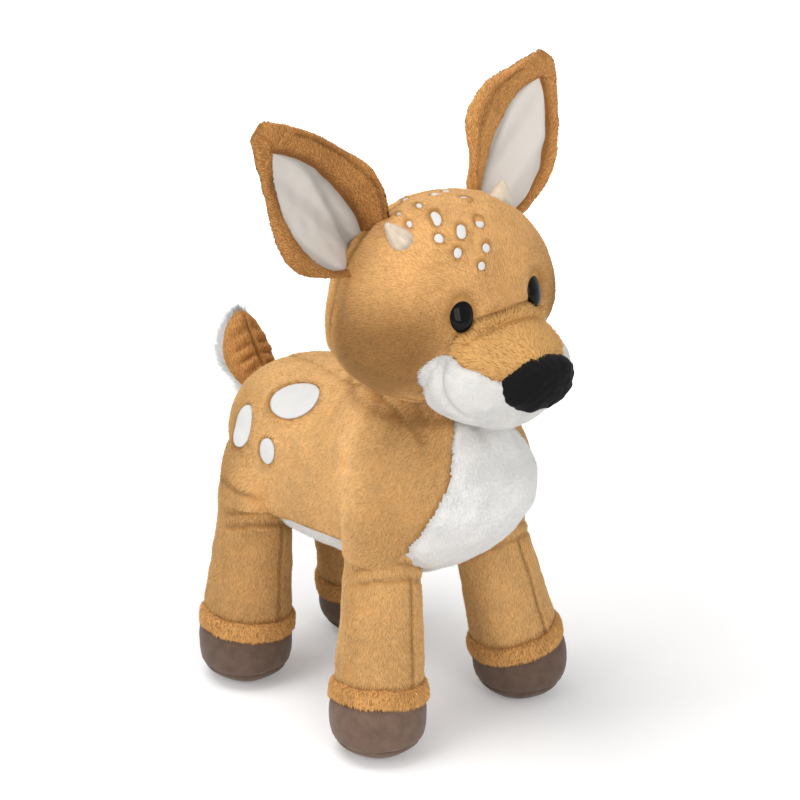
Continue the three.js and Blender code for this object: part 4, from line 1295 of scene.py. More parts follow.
def head_skin(rings=120, columns=180):
    """The head and the top of the muzzle in one: each direction's reach is the larger of two eggs', rounded
    where they meet, and the muzzle's fades out under the seam, where the white panel covers it. Seams,
    hollows and the puffed top of the muzzle are bell curves of the distance from their lines."""
    head = places()["head"]
    ways = sphere_ways(rings, columns)
    plain, snout, both = head_reach(ways)
    fade = smooth_step(above_seam(head + ways * both[..., None]), -14 * mm, -3 * mm)
    points = head + ways * (plain + fade * (both - plain))[..., None]
    level = (points[..., 2] - head[2]) / sizes().head_half_height
    jowl = 0.05 * groove(level + 0.35, 0.4) - 0.03 * smooth_step(level, 0.2, 0.7)
    points[..., 0] *= 1 + jowl * smooth_step(np.abs(points[..., 0]), 40 * mm, 80 * mm)
    x, y, z = np.abs(points[..., 0]), points[..., 1], points[..., 2]
    bright, spots, above, eyes = bright_depth(points), spot_gap(points), above_seam(points), eye_gap(points)
    below = np.maximum(head[2] - 20 * mm - z, 0)
    rear_seam = y - head[1] - 20 * mm + below**2 / (62 * mm)
    fields = {
        "bright": bright, "spots": spots, "muzzle": snout - plain - 4 * mm, "above": above,
        "rear seam": np.abs(rear_seam),
    }
    skin = Skin(points, fields=fields)
    over_side_seam = smooth_step(above, *seam_fade)
    clear_of_eyes = smooth_step(eyes, 0, 7 * mm)

    height = 0.7 * mm * ripple(points, 80 * mm, 5) + 0.35 * mm * ripple(points, 26 * mm, 6) - pile_depth
    for _, eye, _ in eye_places():
        height -= 10 * mm * groove(np.linalg.norm(points - eye, axis=-1), 12.5 * mm)
    height -= 2.4 * mm * groove(bright, 2 * mm) * over_side_seam
    height += 3.0 * mm * smooth_step(bright, 0, 6 * mm) * (0.5 + 0.5 * clear_of_eyes)
    height += 0.5 * mm * clear_of_eyes * groove(bright + 6 * mm, 5 * mm) * over_side_seam
    height -= 2.2 * mm * groove(rear_seam, 2.6 * mm)
    height += 1.2 * mm * groove(rear_seam - 7 * mm, 5 * mm)
    height += 0.7 * mm * groove(spots - 2 * mm, 2 * mm)
    covered = smooth_step(white_depth(points), -4 * mm, -0.5 * mm)
    height = height * (1 - covered) + np.minimum(height, deepest) * covered
    crown = smooth_step(z, head[2] + 40 * mm, head[2] + 60 * mm)
    height += 0.7 * mm * crown * ripple(points, 17 * mm, 7)

    # Painted shade in the rear seam, round the spots and the eyes, along the bright panel's edge and over the
    # lower cheeks
    dark = groove(rear_seam, 1.8 * mm) + 0.9 * groove(spots - 0.3 * mm, 1.1 * mm)
    dark += groove(bright, 1.5 * mm) * over_side_seam
    dark += 0.5 * groove(eyes - 0.5 * mm, 2.5 * mm)
    cheek = smooth_step(x, 30 * mm, 75 * mm) * smooth_step(level, 0.55, -0.1)
    cheek *= smooth_step(y - head[1], 24 * mm, 4 * mm) * smooth_step(bright, 2 * mm, -10 * mm)
    fields["shade"] = np.clip(dark + cheek, 0, 1)
    hollow = groove(np.maximum(eyes, 0), 12 * mm)
    return skin.push(np.maximum(height, deepest - 9 * mm * hollow))


def away_from_nose(points):
    """The nap of the head runs back from the nose and a little down."""
    return unit(points - places()["nose"]) + np.array([0, 0, -0.35])


def lower_muzzle_skin(rings=170, columns=260):
    """The white muzzle: the head and muzzle's rounded outside again, a little proud, with its rear ends
    lying on the cheeks as puffed lobes, each behind a tuck."""
    muzzle, head = places()["muzzle"], places()["head"]
    ways = sphere_ways(rings, columns)
    points = head + ways * head_reach(ways)[2][..., None]
    back, up = points[..., 1] - muzzle[1], points[..., 2] - muzzle[2]
    inside = np.minimum(white_depth(points), (torso_level(points) + 0.15) * 20 * mm)
    skin = Skin(points, fields={"white": inside})
    x = np.abs(points[..., 0])
    cheek = smooth_step(x, 38 * mm, 48 * mm)
    tuck = back + 3 * mm + (up - 23.5 * mm) ** 2 / (95 * mm)
    height = -1.2 * mm + 1.4 * mm * smooth_step(inside, -0.5 * mm, 4 * mm)
    height += cheek * smooth_step(inside, 0, 7 * mm) * (2.2 * mm + 1.6 * mm * groove(tuck - 8 * mm, 6 * mm))
    height -= 2.9 * mm * cheek * groove(tuck, 2.2 * mm) * smooth_step(inside, 0, 4 * mm)
    height -= 4 * mm * smooth_step(up, -4 * mm, -26 * mm) * smooth_step(x, 8 * mm, 36 * mm)
    height += 0.5 * mm * ripple(points, 30 * mm, 8) + 0.3 * mm * ripple(points, 14 * mm, 9)
    # Painted shade in each tuck and along the white panel's edge, over a darkening of the whole white muzzle
    dark = 0.62 + 0.5 * cheek * groove(tuck, 1.6 * mm) + 0.5 * groove(inside, 1.2 * mm)
    skin.fields["shade"] = np.clip(dark, 0, 1)
    return skin.push(np.maximum(height, deepest))


def add_head():
    skin, lower = head_skin(), lower_muzzle_skin()
    bright, spots, above = skin.fields["bright"], skin.fields["spots"], skin.fields["above"]
    hidden = np.minimum(skin.fields["muzzle"], -above - 2 * mm)
    tan, shiny, white = head_pile(), bright_pile(), white_pile()
    cloth("head_cover_cloth", skin, "head", tan, ["head_cover"], -bright)
    cloth("muzzle_top_cloth", skin, "head", shiny, ["muzzle_top_panel"], bright)
    eyes, beside = eye_gap(skin.points), -white_depth(skin.points)
    rear_seam = skin.fields["rear seam"] - seam_strip
    bare = least(-bright - panel_strip, spots, -hidden, eyes - 0.2 * mm, rear_seam, beside + 1.5 * mm)

    def off_face(tips):
        return np.minimum(spot_gap(tips) + 0.7 * mm, eye_gap(tips) - 0.2 * mm)

    look = body_look(**head_tufts)
    pile("head_pile", skin, "head", tan, away_from_nose, look, bare, seed=31, clear=off_face)
    look = body_look(length=sizes().long_pile_length, lift=0.38)
    bare = least(bright - panel_strip, eyes, beside + 0.3 * mm)
    pile("muzzle_top_pile", skin, "head", shiny, away_from_nose, look, bare, seed=32, clear=eye_gap)
    white_part = lower.fields["white"]
    cloth("muzzle_lower_cloth", lower, "head", white, ["muzzle_lower_panel"], white_part)
    look, nap = body_look(**lower_muzzle_tufts), away_from_nose
    pile("muzzle_lower_pile", lower, "head", white, nap, look, white_part, seed=33, clear=torso_level)
    add_nose()
    add_eyes()
    add_spots()
    add_horns()


def add_nose():
    """The nose: a squared egg, wider at its top, with a cleft up from its lower edge and creases round its
    rim."""
    ways, half = sphere_ways(80, 120), halves("nose")
    radius = (np.abs(ways / half) ** nose_squareness).sum(-1) ** (-1 / nose_squareness)
    points = ways * radius[..., None]
    up = points[..., 2] / half[2]
    points[..., 0] *= 1 + 0.07 * up
    skin = Skin(points)
    rim = np.hypot(points[..., 0] / half[0], points[..., 2] / half[2])
    around = np.arctan2(points[..., 2], points[..., 0])
    edge = groove(rim - 0.92, 0.22)
    height = 0.5 * mm * ripple(points, 16 * mm, 41) + 0.35 * mm * ripple(points * [1, 1, 2.2], 8 * mm, 42)
    height += 0.2 * mm * edge * np.sin(around * 13 + 2 * np.sin(around * 4))
    height -= 1.7 * mm * groove(points[..., 0], 1.1 * mm) * smooth_step(up, -0.35, -0.85)
    skin.push(height)
    skin.points = skin.points + places()["nose"]
    cloth("nose_cloth", skin, "head", nose_cloth(), ["nose"])


def add_eyes():
    """Each eye: a glossy dome on an oval rim that turns back to a flat rear."""
    s, around = sizes(), circle(72)
    rise = np.radians(np.linspace(90, -60, 40))[:, None]
    radius = np.cos(rise)
    radius[[0, -1]] = 0
    for name, middle, facing in eye_places():
        across = unit(np.cross(facing, z_axis))
        height = np.cross(across, facing)
        depth = bulge(np.sin(rise), 3) * np.where(rise > 0, s.eye_half_depth, 3 * mm) - 1.4 * mm
        points = (
            middle
            + (radius * np.cos(around))[..., None] * across * s.eye_half_width
            + (radius * np.sin(around))[..., None] * height * s.eye_half_height
            + (depth + 0 * around)[..., None] * facing
        )
        cloth(f"eye_{name}_dome", Skin(points), "head", eye_gloss(), [f"eye_{name}"])


def add_spots():
    """Forehead spots: low domes of white cloth, dropped onto the head under the tips of the pile."""
    domes, around = [], circle(20)
    share = np.array([0, 0.35, 0.65, 0.85, 1.0, 1.04])[:, None]
    lift = np.array([-0.5, -0.5, -0.5, -0.6, -1.0, -2.0])[:, None] * mm
    for middle, across, along, out, half_width, half_height in spot_places():
        flat = (share * np.cos(around))[..., None] * across * half_width
        flat = flat + (share * np.sin(around))[..., None] * along * half_height
        fall = (flat**2).sum(-1) / (2 * crown_radius)
        domes.append(moved(middle + flat, (lift - fall, out)))
    rows, columns = domes[0].shape[:2]
    one = np.arange(rows * columns).reshape(rows, columns)
    one[0] = one[0, 0]
    wide = np.concatenate([one, one[:, :1]], 1)
    cells = np.stack([wide[:-1, :-1], wide[1:, :-1], wide[1:, 1:], wide[:-1, 1:]], -1)
    steps = (np.arange(len(domes)) * rows * columns)[:, None, None]
    rings = (cells[1:].reshape(-1, 4) + steps).reshape(-1, 4)
    fans = (cells[0][:, :3] + steps).reshape(-1, 3)
    dress(mesh_object("forehead_spots", np.stack(domes), rings, fans), "head", patch_cloth())


# How far each horn stands out from the middle of the head, and ahead of it
horn_places = {"right": (52 * mm, 17 * mm), "left": (45 * mm, 12 * mm)}
# Degrees that each horn leans outward and back
horn_leans = {"right": (30, 28), "left": (40, 20)}
horn_sunk = 11 * mm  # base under the head's surface
# Place along a horn and its radius there
horn_shares = [[0, 0.92], [0.2, 1.0], [0.42, 0.92], [0.65, 0.68], [0.85, 0.4], [0.95, 0.23], [1, 0.0]]
stitch_half = np.array([0.5, 0.8, 0.6]) * mm  # half width, half length and height of a stitch


def add_horns():
    """Horns: a turned cone with a round tip, drawn in with small gathers at its seam and stitched up one
    side."""
    s, head, half, around = sizes(), places()["head"], halves("head"), circle(60)
    share = np.concatenate([[0], np.linspace(0, 1, 46)])[:, None]
    radius = s.horn_base_radius * curve_through(horn_shares)(share)
    radius[[0, -1]] = 0
    for name, side in sides.items():
        apart, ahead = horn_places[name]
        reach = half[2] * np.sqrt(1 - (apart / half[0]) ** 2 - (ahead / half[1]) ** 2)
        base = head + np.array([side * apart, -ahead, reach - horn_sunk])
        lean, back = np.radians(horn_leans[name])
        lean *= side
        axis = unit(np.array([np.sin(lean) * np.cos(back), np.sin(back), np.cos(lean) * np.cos(back)]))
        across = unit(np.cross(y_axis, axis))
        forward = np.cross(axis, across)
        skin = Skin(moved(
            base, (share * s.horn_length + 0 * around, axis),
            (radius * np.cos(around), across), (radius * np.sin(around), forward),
        ))
        gathers = np.sin(around * 9 + 6 * share) * smooth_step(share, 0.55, 0.15)
        slant = np.sin(around * 2 + 22 * share) * smooth_step(share, 0.0, 0.3)
        taper = np.minimum(radius / s.horn_base_radius * 3, 1)
        # Painted shade at the gathered base, in the gathers and down the side that lies in shade
        dark = 0.55 * smooth_step(share, 0.4, 0.1) + 0.45 * smooth_step(np.sin(around + 0.6), -0.4, 1)
        skin.fields["shade"] = np.clip(dark + 0.2 * gathers, -0.2, 1)
        skin.push(taper * (0.25 * mm * gathers + 0.1 * mm * slant))
        cloth(f"horn_{name}_cloth", skin, "head", satin(), [f"horn_{name}"])
        add_stitches(f"horn_{name}_stitches", skin)


def add_stitches(name, skin):
    """Short raised stitches up one side of a horn: small diamonds on every third row of one column."""
    rows = np.arange(10, 42, 3)
    column = 44
    here = skin.points[rows, column]
    half_width, half_length, rise = stitch_half
    out = skin.normals[rows, column] * rise
    wide = unit(skin.points[rows, column + 1] - here) * half_width
    along = unit(skin.points[rows + 1, column] - here) * half_length
    points = np.stack([here - along, here + wide, here + along, here - wide, here + out, here - out], 1)
    faces = np.array([
        [0, 1, 4], [1, 2, 4], [2, 3, 4], [3, 0, 4], [1, 0, 5], [2, 1, 5], [3, 2, 5], [0, 3, 5],
    ])
    faces = faces + np.arange(len(rows))[:, None, None] * points.shape[1]
    dress(mesh_object(name, points, faces.reshape(-1, 3)), "head", satin())


# Ears

root_share = -0.12  # how far an ear and its lining go on into the head
lining_end = 0.85  # place along the ear
# Place along the ear and half width there
ear_shares = [
    [root_share, 0.4], [0, 0.6], [0.12, 0.8], [0.28, 0.95], [0.42, 0.97], [0.55, 0.9], [0.68, 0.76],
    [0.8, 0.57], [0.9, 0.38], [0.96, 0.27], [1, 0.16],
]
# Place along the ear, and how much wider it is there toward the crown and away from it: the right ear's two
# values, then the left ear's
ear_spreads = [
    [root_share, 1.05, 0.8, 0.95, 0.8], [0, 1.05, 0.92, 0.95, 0.85], [0.15, 1.1, 1.09, 1, 0.9],
    [0.35, 0.98, 1.22, 1.26, 0.96], [0.6, 0.92, 1.13, 1.26, 0.95], [0.8, 0.94, 0.95, 1.08, 0.95],
    [1, 1, 0.85, 0.92, 0.95],
]
# Place along the ear, and how far the lining reaches there toward the crown and away from it, in that order
lining_shares = [
    [root_share, 0.2, 0.2, 0.0, 0.2], [0.0, 0.3, 0.4, 0.06, 0.4], [0.1, 0.4, 0.66, 0.16, 0.58],
    [0.25, 0.46, 0.82, 0.3, 0.72], [0.42, 0.45, 0.8, 0.38, 0.73], [0.6, 0.35, 0.64, 0.36, 0.6],
    [0.74, 0.16, 0.38, 0.2, 0.38], [lining_end, -0.06, 0.06, -0.04, 0.08],
]
ear_apart, ear_back, ear_sunk = 66 * mm, 7 * mm, 7.2 * mm  # base from the head's middle and under its surface
ear_tip = np.array([83, 29, 100]) * mm * 0.975  # from the base: outward, back and up
ear_turn = np.radians(10)  # of the hollow side, toward the crown
ear_bend = (2, 32)  # millimetres under and over its base: the two points handed to an ear's pieces as joint ends
ear_pile_start, ear_pile_end = -0.02, 0.985  # places along the ear
# How dark the whole of each ear is, the right one in shade and the left one in light
ear_shades = {-1: 0.25, 1: -0.2}
ear_curve = curve_through(ear_shares)
spread_curve = curve_through(ear_spreads)
lining_curve = curve_through(lining_shares)


def ear_frame(side):
    """An ear's base, its length, and the ways along it, out of its hollow side and away from the crown."""
    head, half = places()["head"], halves("head")
    reach = half[2] * np.sqrt(1 - (ear_apart / half[0]) ** 2 - (ear_back / half[1]) ** 2)
    base = head + np.array([side * ear_apart, ear_back, reach - ear_sunk])
    tip = ear_tip * [side, 1, 1]
    along = unit(tip)
    inward = np.array([-side * np.sin(ear_turn), -np.cos(ear_turn), 0])
    facing = unit(inward - along * (inward @ along))
    return base, np.linalg.norm(tip), along, facing, np.cross(along, facing) * side


def ear_reaches(curve, side, share):
    """What a curve gives for one ear: its value toward the crown and its value away from it."""
    first = 0 if side < 0 else 2
    return curve(share, first), curve(share, first + 1)


def lining_edges(side, share):
    """How far an ear's lining reaches toward the crown and away from it."""
    crown, outer = ear_reaches(lining_curve, side, share)
    return crown * sizes().ear_half_width, outer * sizes().ear_half_width


def ear_point(side, share, across, offset):
    """A point at a share of an ear's length, a distance across it from the middle, off its cupped middle
    surface. The hollow is deepest in the middle of the base and fades toward the edges and the tip."""
    s = sizes()
    base, reach, along, facing, outward = ear_frame(side)
    half = ear_curve(share) * s.ear_half_width
    hollow = s.ear_cup * (1 - share) * (1 - np.clip(across / half, -1, 1) ** 2)
    return moved(base, (share * reach, along), (across, outward), (offset - hollow, facing))


def lining_depth(side, share, across):
    """How far a place on an ear lies inside its lining."""
    crown, outer = lining_edges(side, share)
    return np.where(share < lining_end, np.minimum(across + crown, outer - across), -10 * mm)


def ear_skin(side, rows=110, columns=140):
    """An ear: flat closed rings across it, thickest at a soft roll round the lining, from its base to its
    tip."""
    s = sizes()
    share = np.linspace(0, 1, rows - 1) ** 0.92 * (1 - root_share) + root_share
    share, around = np.concatenate([[root_share], share, [1]])[:, None], circle(columns)
    half = ear_curve(share) * s.ear_half_width
    closing = np.ones_like(share)
    closing[[0, -1]] = 0
    across = half * np.cos(around) * closing
    to_crown, from_crown = ear_reaches(spread_curve, side, share)
    across = np.where(across < 0, across * to_crown, across * from_crown)
    front = np.sin(around) + 0 * share
    depth = lining_depth(side, share + 0 * around, across)
    round_tip = smooth_step(share, 1.0, 0.9)
    toward_crown = across < 0
    edge = np.where(toward_crown, *lining_edges(side, share))
    rim = half * np.where(toward_crown, to_crown, from_crown) - edge
    over = np.clip(-depth / np.maximum(rim, 1 * mm), 0, 1)
    rolled = np.where(share < lining_end, np.sqrt(1 - (2 * over - 1) ** 2), 0.6)
    roll = rolled * np.clip(rim * 0.2, 0, 4.2 * mm) * smooth_step(front, 0.0, 0.4)
    rim_seam = groove(over - 0.7, 0.07) * toward_crown * (share < 0.8) * (front > 0)
    thick = s.ear_thickness / 2 * np.sign(front) * np.abs(front) ** 0.6 * (0.35 + 0.65 * round_tip)
    sunk = 5.4 * mm * smooth_step(depth, 0, 4 * mm) * smooth_step(front, 0.0, 0.3)
    thick = (thick + (roll - 1.2 * mm * rim_seam) * round_tip - sunk) * closing
    points = ear_point(side, share + 0 * around, across, thick)
    wave = 0.8 * mm * np.sin(share * 12 + 1.5 * side) * smooth_step(np.abs(np.cos(around)), 0.5, 1.0)
    points = moved(points, (wave, ear_frame(side)[3]))
    under_roll = groove(np.clip(depth, -9 * mm, 0), 2 * mm) * (front > 0)
    fields = {"lining": np.where(front > 0, depth, -20 * mm), "share": share + 0 * front}
    # Painted shade along the rim's seam and under the roll, and each whole ear painted darker or lighter by
    # ear_shades
    fields["shade"] = 0.6 * rim_seam + 0.5 * under_roll + ear_shades[side]
    skin = Skin(points, fields=fields)
    creases = 0.5 * ripple(points, 24 * mm, 51 + side) + 0.25 * ripple(points, 11 * mm, 53)
    creases = creases * smooth_step(skin.fields["lining"], 2 * mm, -2 * mm)
    return skin.push(closing * mm * (creases - 0.5))


def add_ears():
    for name, side in sides.items():
        base, _, along, _, outward = ear_frame(side)
        ends = ("head", base - along * ear_bend[0] * mm, base + along * ear_bend[1] * mm)
        body, skin, tan = f"ear_{name}", ear_skin(side), ear_pile()
        cloth(f"ear_back_{name}_cloth", skin, body, tan, [f"ear_back_{name}"], joint_ends=ends)

        def nap(points):
            """Up the ear and out toward its two edges."""
            return along + 0.8 * outward * np.sign((points - base) @ outward)[:, None] * 0.6

        look, place = body_look(**ear_tufts), skin.fields["share"]
        bare = least(0.2 * mm - skin.fields["lining"], ear_pile_end - place, place - ear_pile_start)
        pile(f"ear_pile_{name}", skin, body, tan, nap, look, bare, seed=55 + side, joint_ends=ends)
        add_lining(name, side, ends)


def add_lining(name, side, ends):
    """An ear's lining: a sheet between its two edge curves, with long folds from the base, its edges tucked
    down."""
    facing = ear_frame(side)[3]
    share = np.linspace(root_share + 0.01, lining_end - 0.001, 78)[:, None]
    spread = np.linspace(0, 1, 50)[None]
    crown, outer = lining_edges(side, share)
    across = -crown + spread * (crown + outer)
    edge = np.minimum(spread, 1 - spread) * 2
    fold = np.sin((across / mm) * 0.2 - 5 * share + 0.8 * side) * (1 - share)
    crease = groove(across + 4 * mm + 16 * mm * share, 3.5 * mm) * smooth_step(share, 0.75, 0.3)
    offset = sizes().ear_thickness / 2 - 2.4 * mm
    offset = offset + (1.2 * fold - 1.7 * crease) * mm * smooth_step(edge, 0.0, 0.35)
    offset = offset - 1.2 * mm * smooth_step(edge, 0.12, 0.0)
    points = ear_point(side, share + 0 * spread, across, offset)
    points = moved(points, (0.6 * mm * ripple(points, 16 * mm, 61 + side), facing))
    # Painted shade in the folds and the crease, under the rolls along both edges, and over all of the right
    # lining, which lies in shade
    dark = 0.35 * smooth_step(-fold, 0.0, 0.9) + 0.7 * crease + 0.8 * smooth_step(spread, 0.22, 0.0)
    dark = dark + 0.4 * smooth_step(spread, 0.85, 1.0) + (0.3 if side < 0 else 0.0)
    fields = {"shade": np.clip(dark, 0, 1)}
    skin = Skin(points, outward=facing, wrap=False, poles=False, fields=fields)
    node, body = f"ear_lining_{name}", f"ear_{name}"
    cloth(node + "_cloth", skin, body, lining_cloth(), [node], thickness=0.8 * mm, joint_ends=ends)


# Tail

# Place along the tail and size there
tail_curve = curve_through([[0, 0.72], [0.3, 0.9], [0.6, 1], [0.85, 0.9], [1, 0.75]])
tail_squareness = 2.4
# From the tail's root to its bend and to its tip
tail_bend = np.array([0, 38, 9.5]) * mm
tail_tip = np.array([0, 38, 56]) * mm
tail_seam = 6 * mm  # how far under the middle line the white panel begins
tail_drop = np.radians(20)  # the most that the tail bends down
tail_nap = steady(0, 0.25, 1.0)  # toward the tip


def tail_line(share):
    """Points and directions of the tail's middle line: a quadratic curve back from the rump and then up."""
    root = pivots["tail_bend"]
    turn, end = root + tail_bend, root + tail_tip
    share = share[..., None]
    line = (1 - share) ** 2 * root + 2 * share * (1 - share) * turn + share**2 * end
    way = 2 * (1 - share) * (turn - root) + 2 * share * (end - turn)
    return line, unit(way)


def tail_skin(rows=80, columns=90):
    """The tail: ovals round its middle line, puckered across its upper side and seamed along the middle."""
    s, share, around = sizes(), eased(rows), circle(columns)
    full = (1 - np.abs(2 * share - 1) ** tail_squareness) ** (1 / tail_squareness)
    size = tail_curve(share) * full
    line, way = tail_line(share[:, 0])
    under = np.cross(way, x_axis)[:, None]
    points = moved(
        line[:, None], (size * s.tail_half_width * np.cos(around), x_axis),
        (size * s.tail_half_thickness * np.sin(around), under),
    )
    skin = Skin(points, fields={"under": np.sin(around) * s.tail_half_thickness * size})
    side = np.abs(np.cos(around))
    upper = smooth_step(-np.sin(around), -0.1, 0.4)
    puckers = np.sin(share * 34 + 2.5 * side)
    relief = 3.2 * mm * puckers * side * (1 - side) - 2.2 * mm * groove(np.cos(around), 0.09)
    height = upper * full * relief
    # Painted shade in the middle seam and in the dips between the puckers
    middle_seam = smooth_step(-np.sin(around), 0.0, 0.3) * groove(np.cos(around), 0.07)
    dips = 2 * upper * side * (1 - side) * smooth_step(-puckers, 0.2, 1)
    skin.fields["shade"] = np.clip(middle_seam + dips, 0, 1)
    return skin.push(height - 0.8 * mm * full)


def add_tail():
    skin, root = tail_skin(), pivots["tail_bend"]
    tan, white = ear_pile(), white_pile()
    under = skin.fields["under"] - tail_seam
    cloth("tail_top_cloth", skin, "tail", tan, ["tail_top_panel"], -under)
    cloth("tail_under_cloth", skin, "tail", white, ["tail_under_panel"], under)

    def outward(points):
        return unit(points - root) + 0.5 * np.array([0, 1, 0.4])

    def off_rump(tips):
        """Clear of the rump with the tail at its lowest: the tips turned down about its root."""
        away = tips - root
        lowered = root + np.stack([
            away[:, 0],
            away[:, 1] * np.cos(tail_drop) + away[:, 2] * np.sin(tail_drop),
            away[:, 2] * np.cos(tail_drop) - away[:, 1] * np.sin(tail_drop),
        ], -1)
        return torso_level(lowered)

    pile("tail_pile", skin, "tail", tan, tail_nap, body_look(), -under, seed=71)
    look = body_look(length=sizes().fringe_length, **fringe_tufts)
    pile("tail_fringe", skin, "tail", white, outward, look, under, seed=72, clear=off_rump)


# Legs and hooves

leg_top = -26 * mm  # the top of a leg's dome, counted down from its pivot
leg_foot = 6 * mm  # how far a leg's cover rounds in under the cuff
cuff_drop = 12 * mm  # from the cuff's lower edge to the hoof's middle
leg_bend = (24, 34)  # millimetres over and under its pivot: the two points handed to a leg's pieces as joint ends
leg_nap = steady(0, 0, -1.0)  # down
hoof_squareness = 2.45
# How dark each hoof is, the front right one in light and the others in shade
hoof_shades = {"front_right": -0.1, "front_left": 0.4, "hind_right": 0.35, "hind_left": 0.4}
# Creases across the top of a leg: place, the height of their wave and their depth, in millimetres
leg_creases = ((4, 5, 1.6), (15, 4, 1.4))


def leg_frame(name):
    """A leg's pivot, its hoof's middle, the way down it, two ways across it and its length to the cuff's
    lower edge."""
    s = sizes()
    ball, floor = leg_ends(name)
    hoof = floor + z_axis * (s.hoof_half_height - 0.5 * mm)
    down = unit(hoof - ball)
    across = unit(x_axis - down * down[0])
    return ball, hoof, down, across, np.cross(down, across), np.linalg.norm(hoof - ball) - cuff_drop


def round_leg(name, place, radius, around):
    """Points round a leg's middle line, at places down it, at a radius and an angle."""
    ball, _, down, across, forward, _ = leg_frame(name)
    return moved(
        ball, (place + 0 * around, down),
        (radius * np.cos(around), across), (radius * np.sin(around), forward),
    )


def leg_skin(name, rows=70, columns=84):
    """A leg: rings round the line from its pivot to its hoof, domed over the pivot and flaring to the
    cuff."""
    s, around = sizes(), circle(columns)
    ball, _, down, _, _, bottom = leg_frame(name)
    place = leg_top + (bottom + leg_foot - leg_top) * eased(rows)
    radii = curve_through([
        [0, s.leg_top_radius], [0.15 * bottom, s.leg_top_radius], [0.55 * bottom, s.leg_middle_radius],
        [bottom, s.leg_bottom_radius], [bottom + 8 * mm, s.leg_bottom_radius - 2 * mm],
    ])
    dome = np.sqrt(np.clip(1 - (np.minimum(place, 0) / leg_top) ** 2, 0, 1))
    foot = np.sqrt(np.clip(1 - (np.maximum(place - bottom, 0) / leg_foot) ** 2, 0, 1))
    points = round_leg(name, place, radii(np.maximum(place, 0)) * dome * foot, around)
    away = points - (ball + place[..., None] * down)
    seam = np.abs(away[..., 0] + 0.05 * away[..., 1]) + 20 * mm * smooth_step(place, 14 * mm, 6 * mm)
    skin = Skin(points, fields={"place": place + 0 * around, "seam": seam})
    height = -1.5 * mm * groove(seam, 1.8 * mm) - pile_depth
    softness = 0.8 * mm * ripple(points, 45 * mm, 81) + 0.35 * mm * ripple(points, 20 * mm, 82)
    height = height + dome * foot * softness
    pinch = smooth_step(place, bottom - s.cuff_height - 6 * mm, bottom - s.cuff_height)
    height = height - 0.4 * mm * pinch
    # Painted shade over the whole leg, more on the hind legs, in the seam, along the cuff's top and in the creases
    dark = 0.5 if "hind" in name else 0.25
    dark = dark + groove(seam, 1.4 * mm) + 0.6 * groove(place - bottom + s.cuff_height, 2 * mm)
    for level, reach, depth in leg_creases:
        wave = place - level * mm - reach * mm * np.sin(around * 2 + 0.7)
        crease = groove(wave, 1.8 * mm) * smooth_step(away[..., 1], 12 * mm, -12 * mm)
        height = height - depth * mm * crease
        dark = dark + 0.7 * crease
    skin.fields["shade"] = np.clip(dark, 0, 1)
    return skin.push(height)


def cuff_skin(name, rows=24, columns=90):
    """A cuff: a rounded band round the lower leg, its section a squared oval, a little uneven all round."""
    s, around, turn = sizes(), circle(columns), circle(rows).T
    ball, _, down, _, _, bottom = leg_frame(name)
    half = s.cuff_thickness / 2 + 0.4 * mm
    middle = s.leg_bottom_radius + s.cuff_thickness / 2 - pile_depth - 1.8 * mm
    radius = middle + half * bulge(np.cos(turn), 2.4) + 1.3 * mm * np.sin(turn) + 0 * around
    wobble = 0.6 * mm * np.sin(around * 2 + len(name)) + 0.4 * mm * np.sin(around * 5)
    drop = bottom - s.cuff_height / 2 + (s.cuff_height / 2 - 1 * mm) * bulge(np.sin(turn), 2.6) + wobble
    points = round_leg(name, drop, radius, around)
    from_axis = points - moved(ball, (drop, down))
    skin = Skin(points, ring=True, poles=False, fields={"outer": radius - middle + half * 0.6})
    if ((skin.normals * from_axis).sum(-1) * np.sign(radius - middle)).sum() < 0:
        skin.turned = not skin.turned
        skin.normals = -skin.normals
    return skin.push(0.5 * mm * ripple(points, 18 * mm, 91))


def hoof_skin(name, rows=70, columns=100):
    """A hoof: a squared egg, pressed flat on the floor, with a seam round it over the sole."""
    s, ways = sizes(), sphere_ways(rows, columns)
    bearing = np.arctan2(ways[..., 1], ways[..., 0])
    flat = np.hypot(ways[..., 0], ways[..., 1]) / s.hoof_radius
    upright = np.abs(ways[..., 2] / s.hoof_half_height)
    reach = (flat**hoof_squareness + upright**hoof_squareness) ** (-1 / hoof_squareness)
    points = leg_frame(name)[1] + ways * reach[..., None]
    above_sole = points[..., 2] - s.sole_height - 0.8 * mm * np.sin(3 * bearing)
    skin = Skin(points, fields={"upper": above_sole, "shade": hoof_shades[name]})
    lower = smooth_step(points[..., 2], 1.5 * mm, 5 * mm)
    height = -1.6 * mm * groove(above_sole, 1.2 * mm) + lower * 0.4 * mm * ripple(points, 26 * mm, 95)
    gathers = groove(above_sole - 2.5 * mm, 3 * mm) * np.sin(bearing * 30)
    skin.push(height + 0.16 * mm * gathers)
    skin.points[..., 2] = np.maximum(skin.points[..., 2], 0)
    return skin


def add_legs():
    tan, cuff_tan = tan_pile(), cuff_pile()
    for index, name in enumerate(leg_names):
        ball, *_, bottom = leg_frame(name)
        body, skin, cuff = f"leg_{name}", leg_skin(name), cuff_skin(name)
        ends = ("torso", ball + z_axis * leg_bend[0] * mm, ball - z_axis * leg_bend[1] * mm)
        cloth(f"{body}_cloth", skin, body, tan, [f"leg_cover_{name}"], joint_ends=ends)
        place = skin.fields["place"]
        bare = least(place + 20 * mm, bottom - 3 * mm - place, skin.fields["seam"] - 0.4 * mm)
        pile(f"{body}_pile", skin, body, tan, leg_nap, body_look(), bare, seed=101 + index, joint_ends=ends)
        cloth(f"cuff_{name}_cloth", cuff, body, cuff_tan, [f"cuff_{name}"])
        look, outer = body_look(**cuff_tufts), cuff.fields["outer"]
        pile(f"cuff_pile_{name}", cuff, body, cuff_tan, leg_nap, look, outer, seed=111 + index)


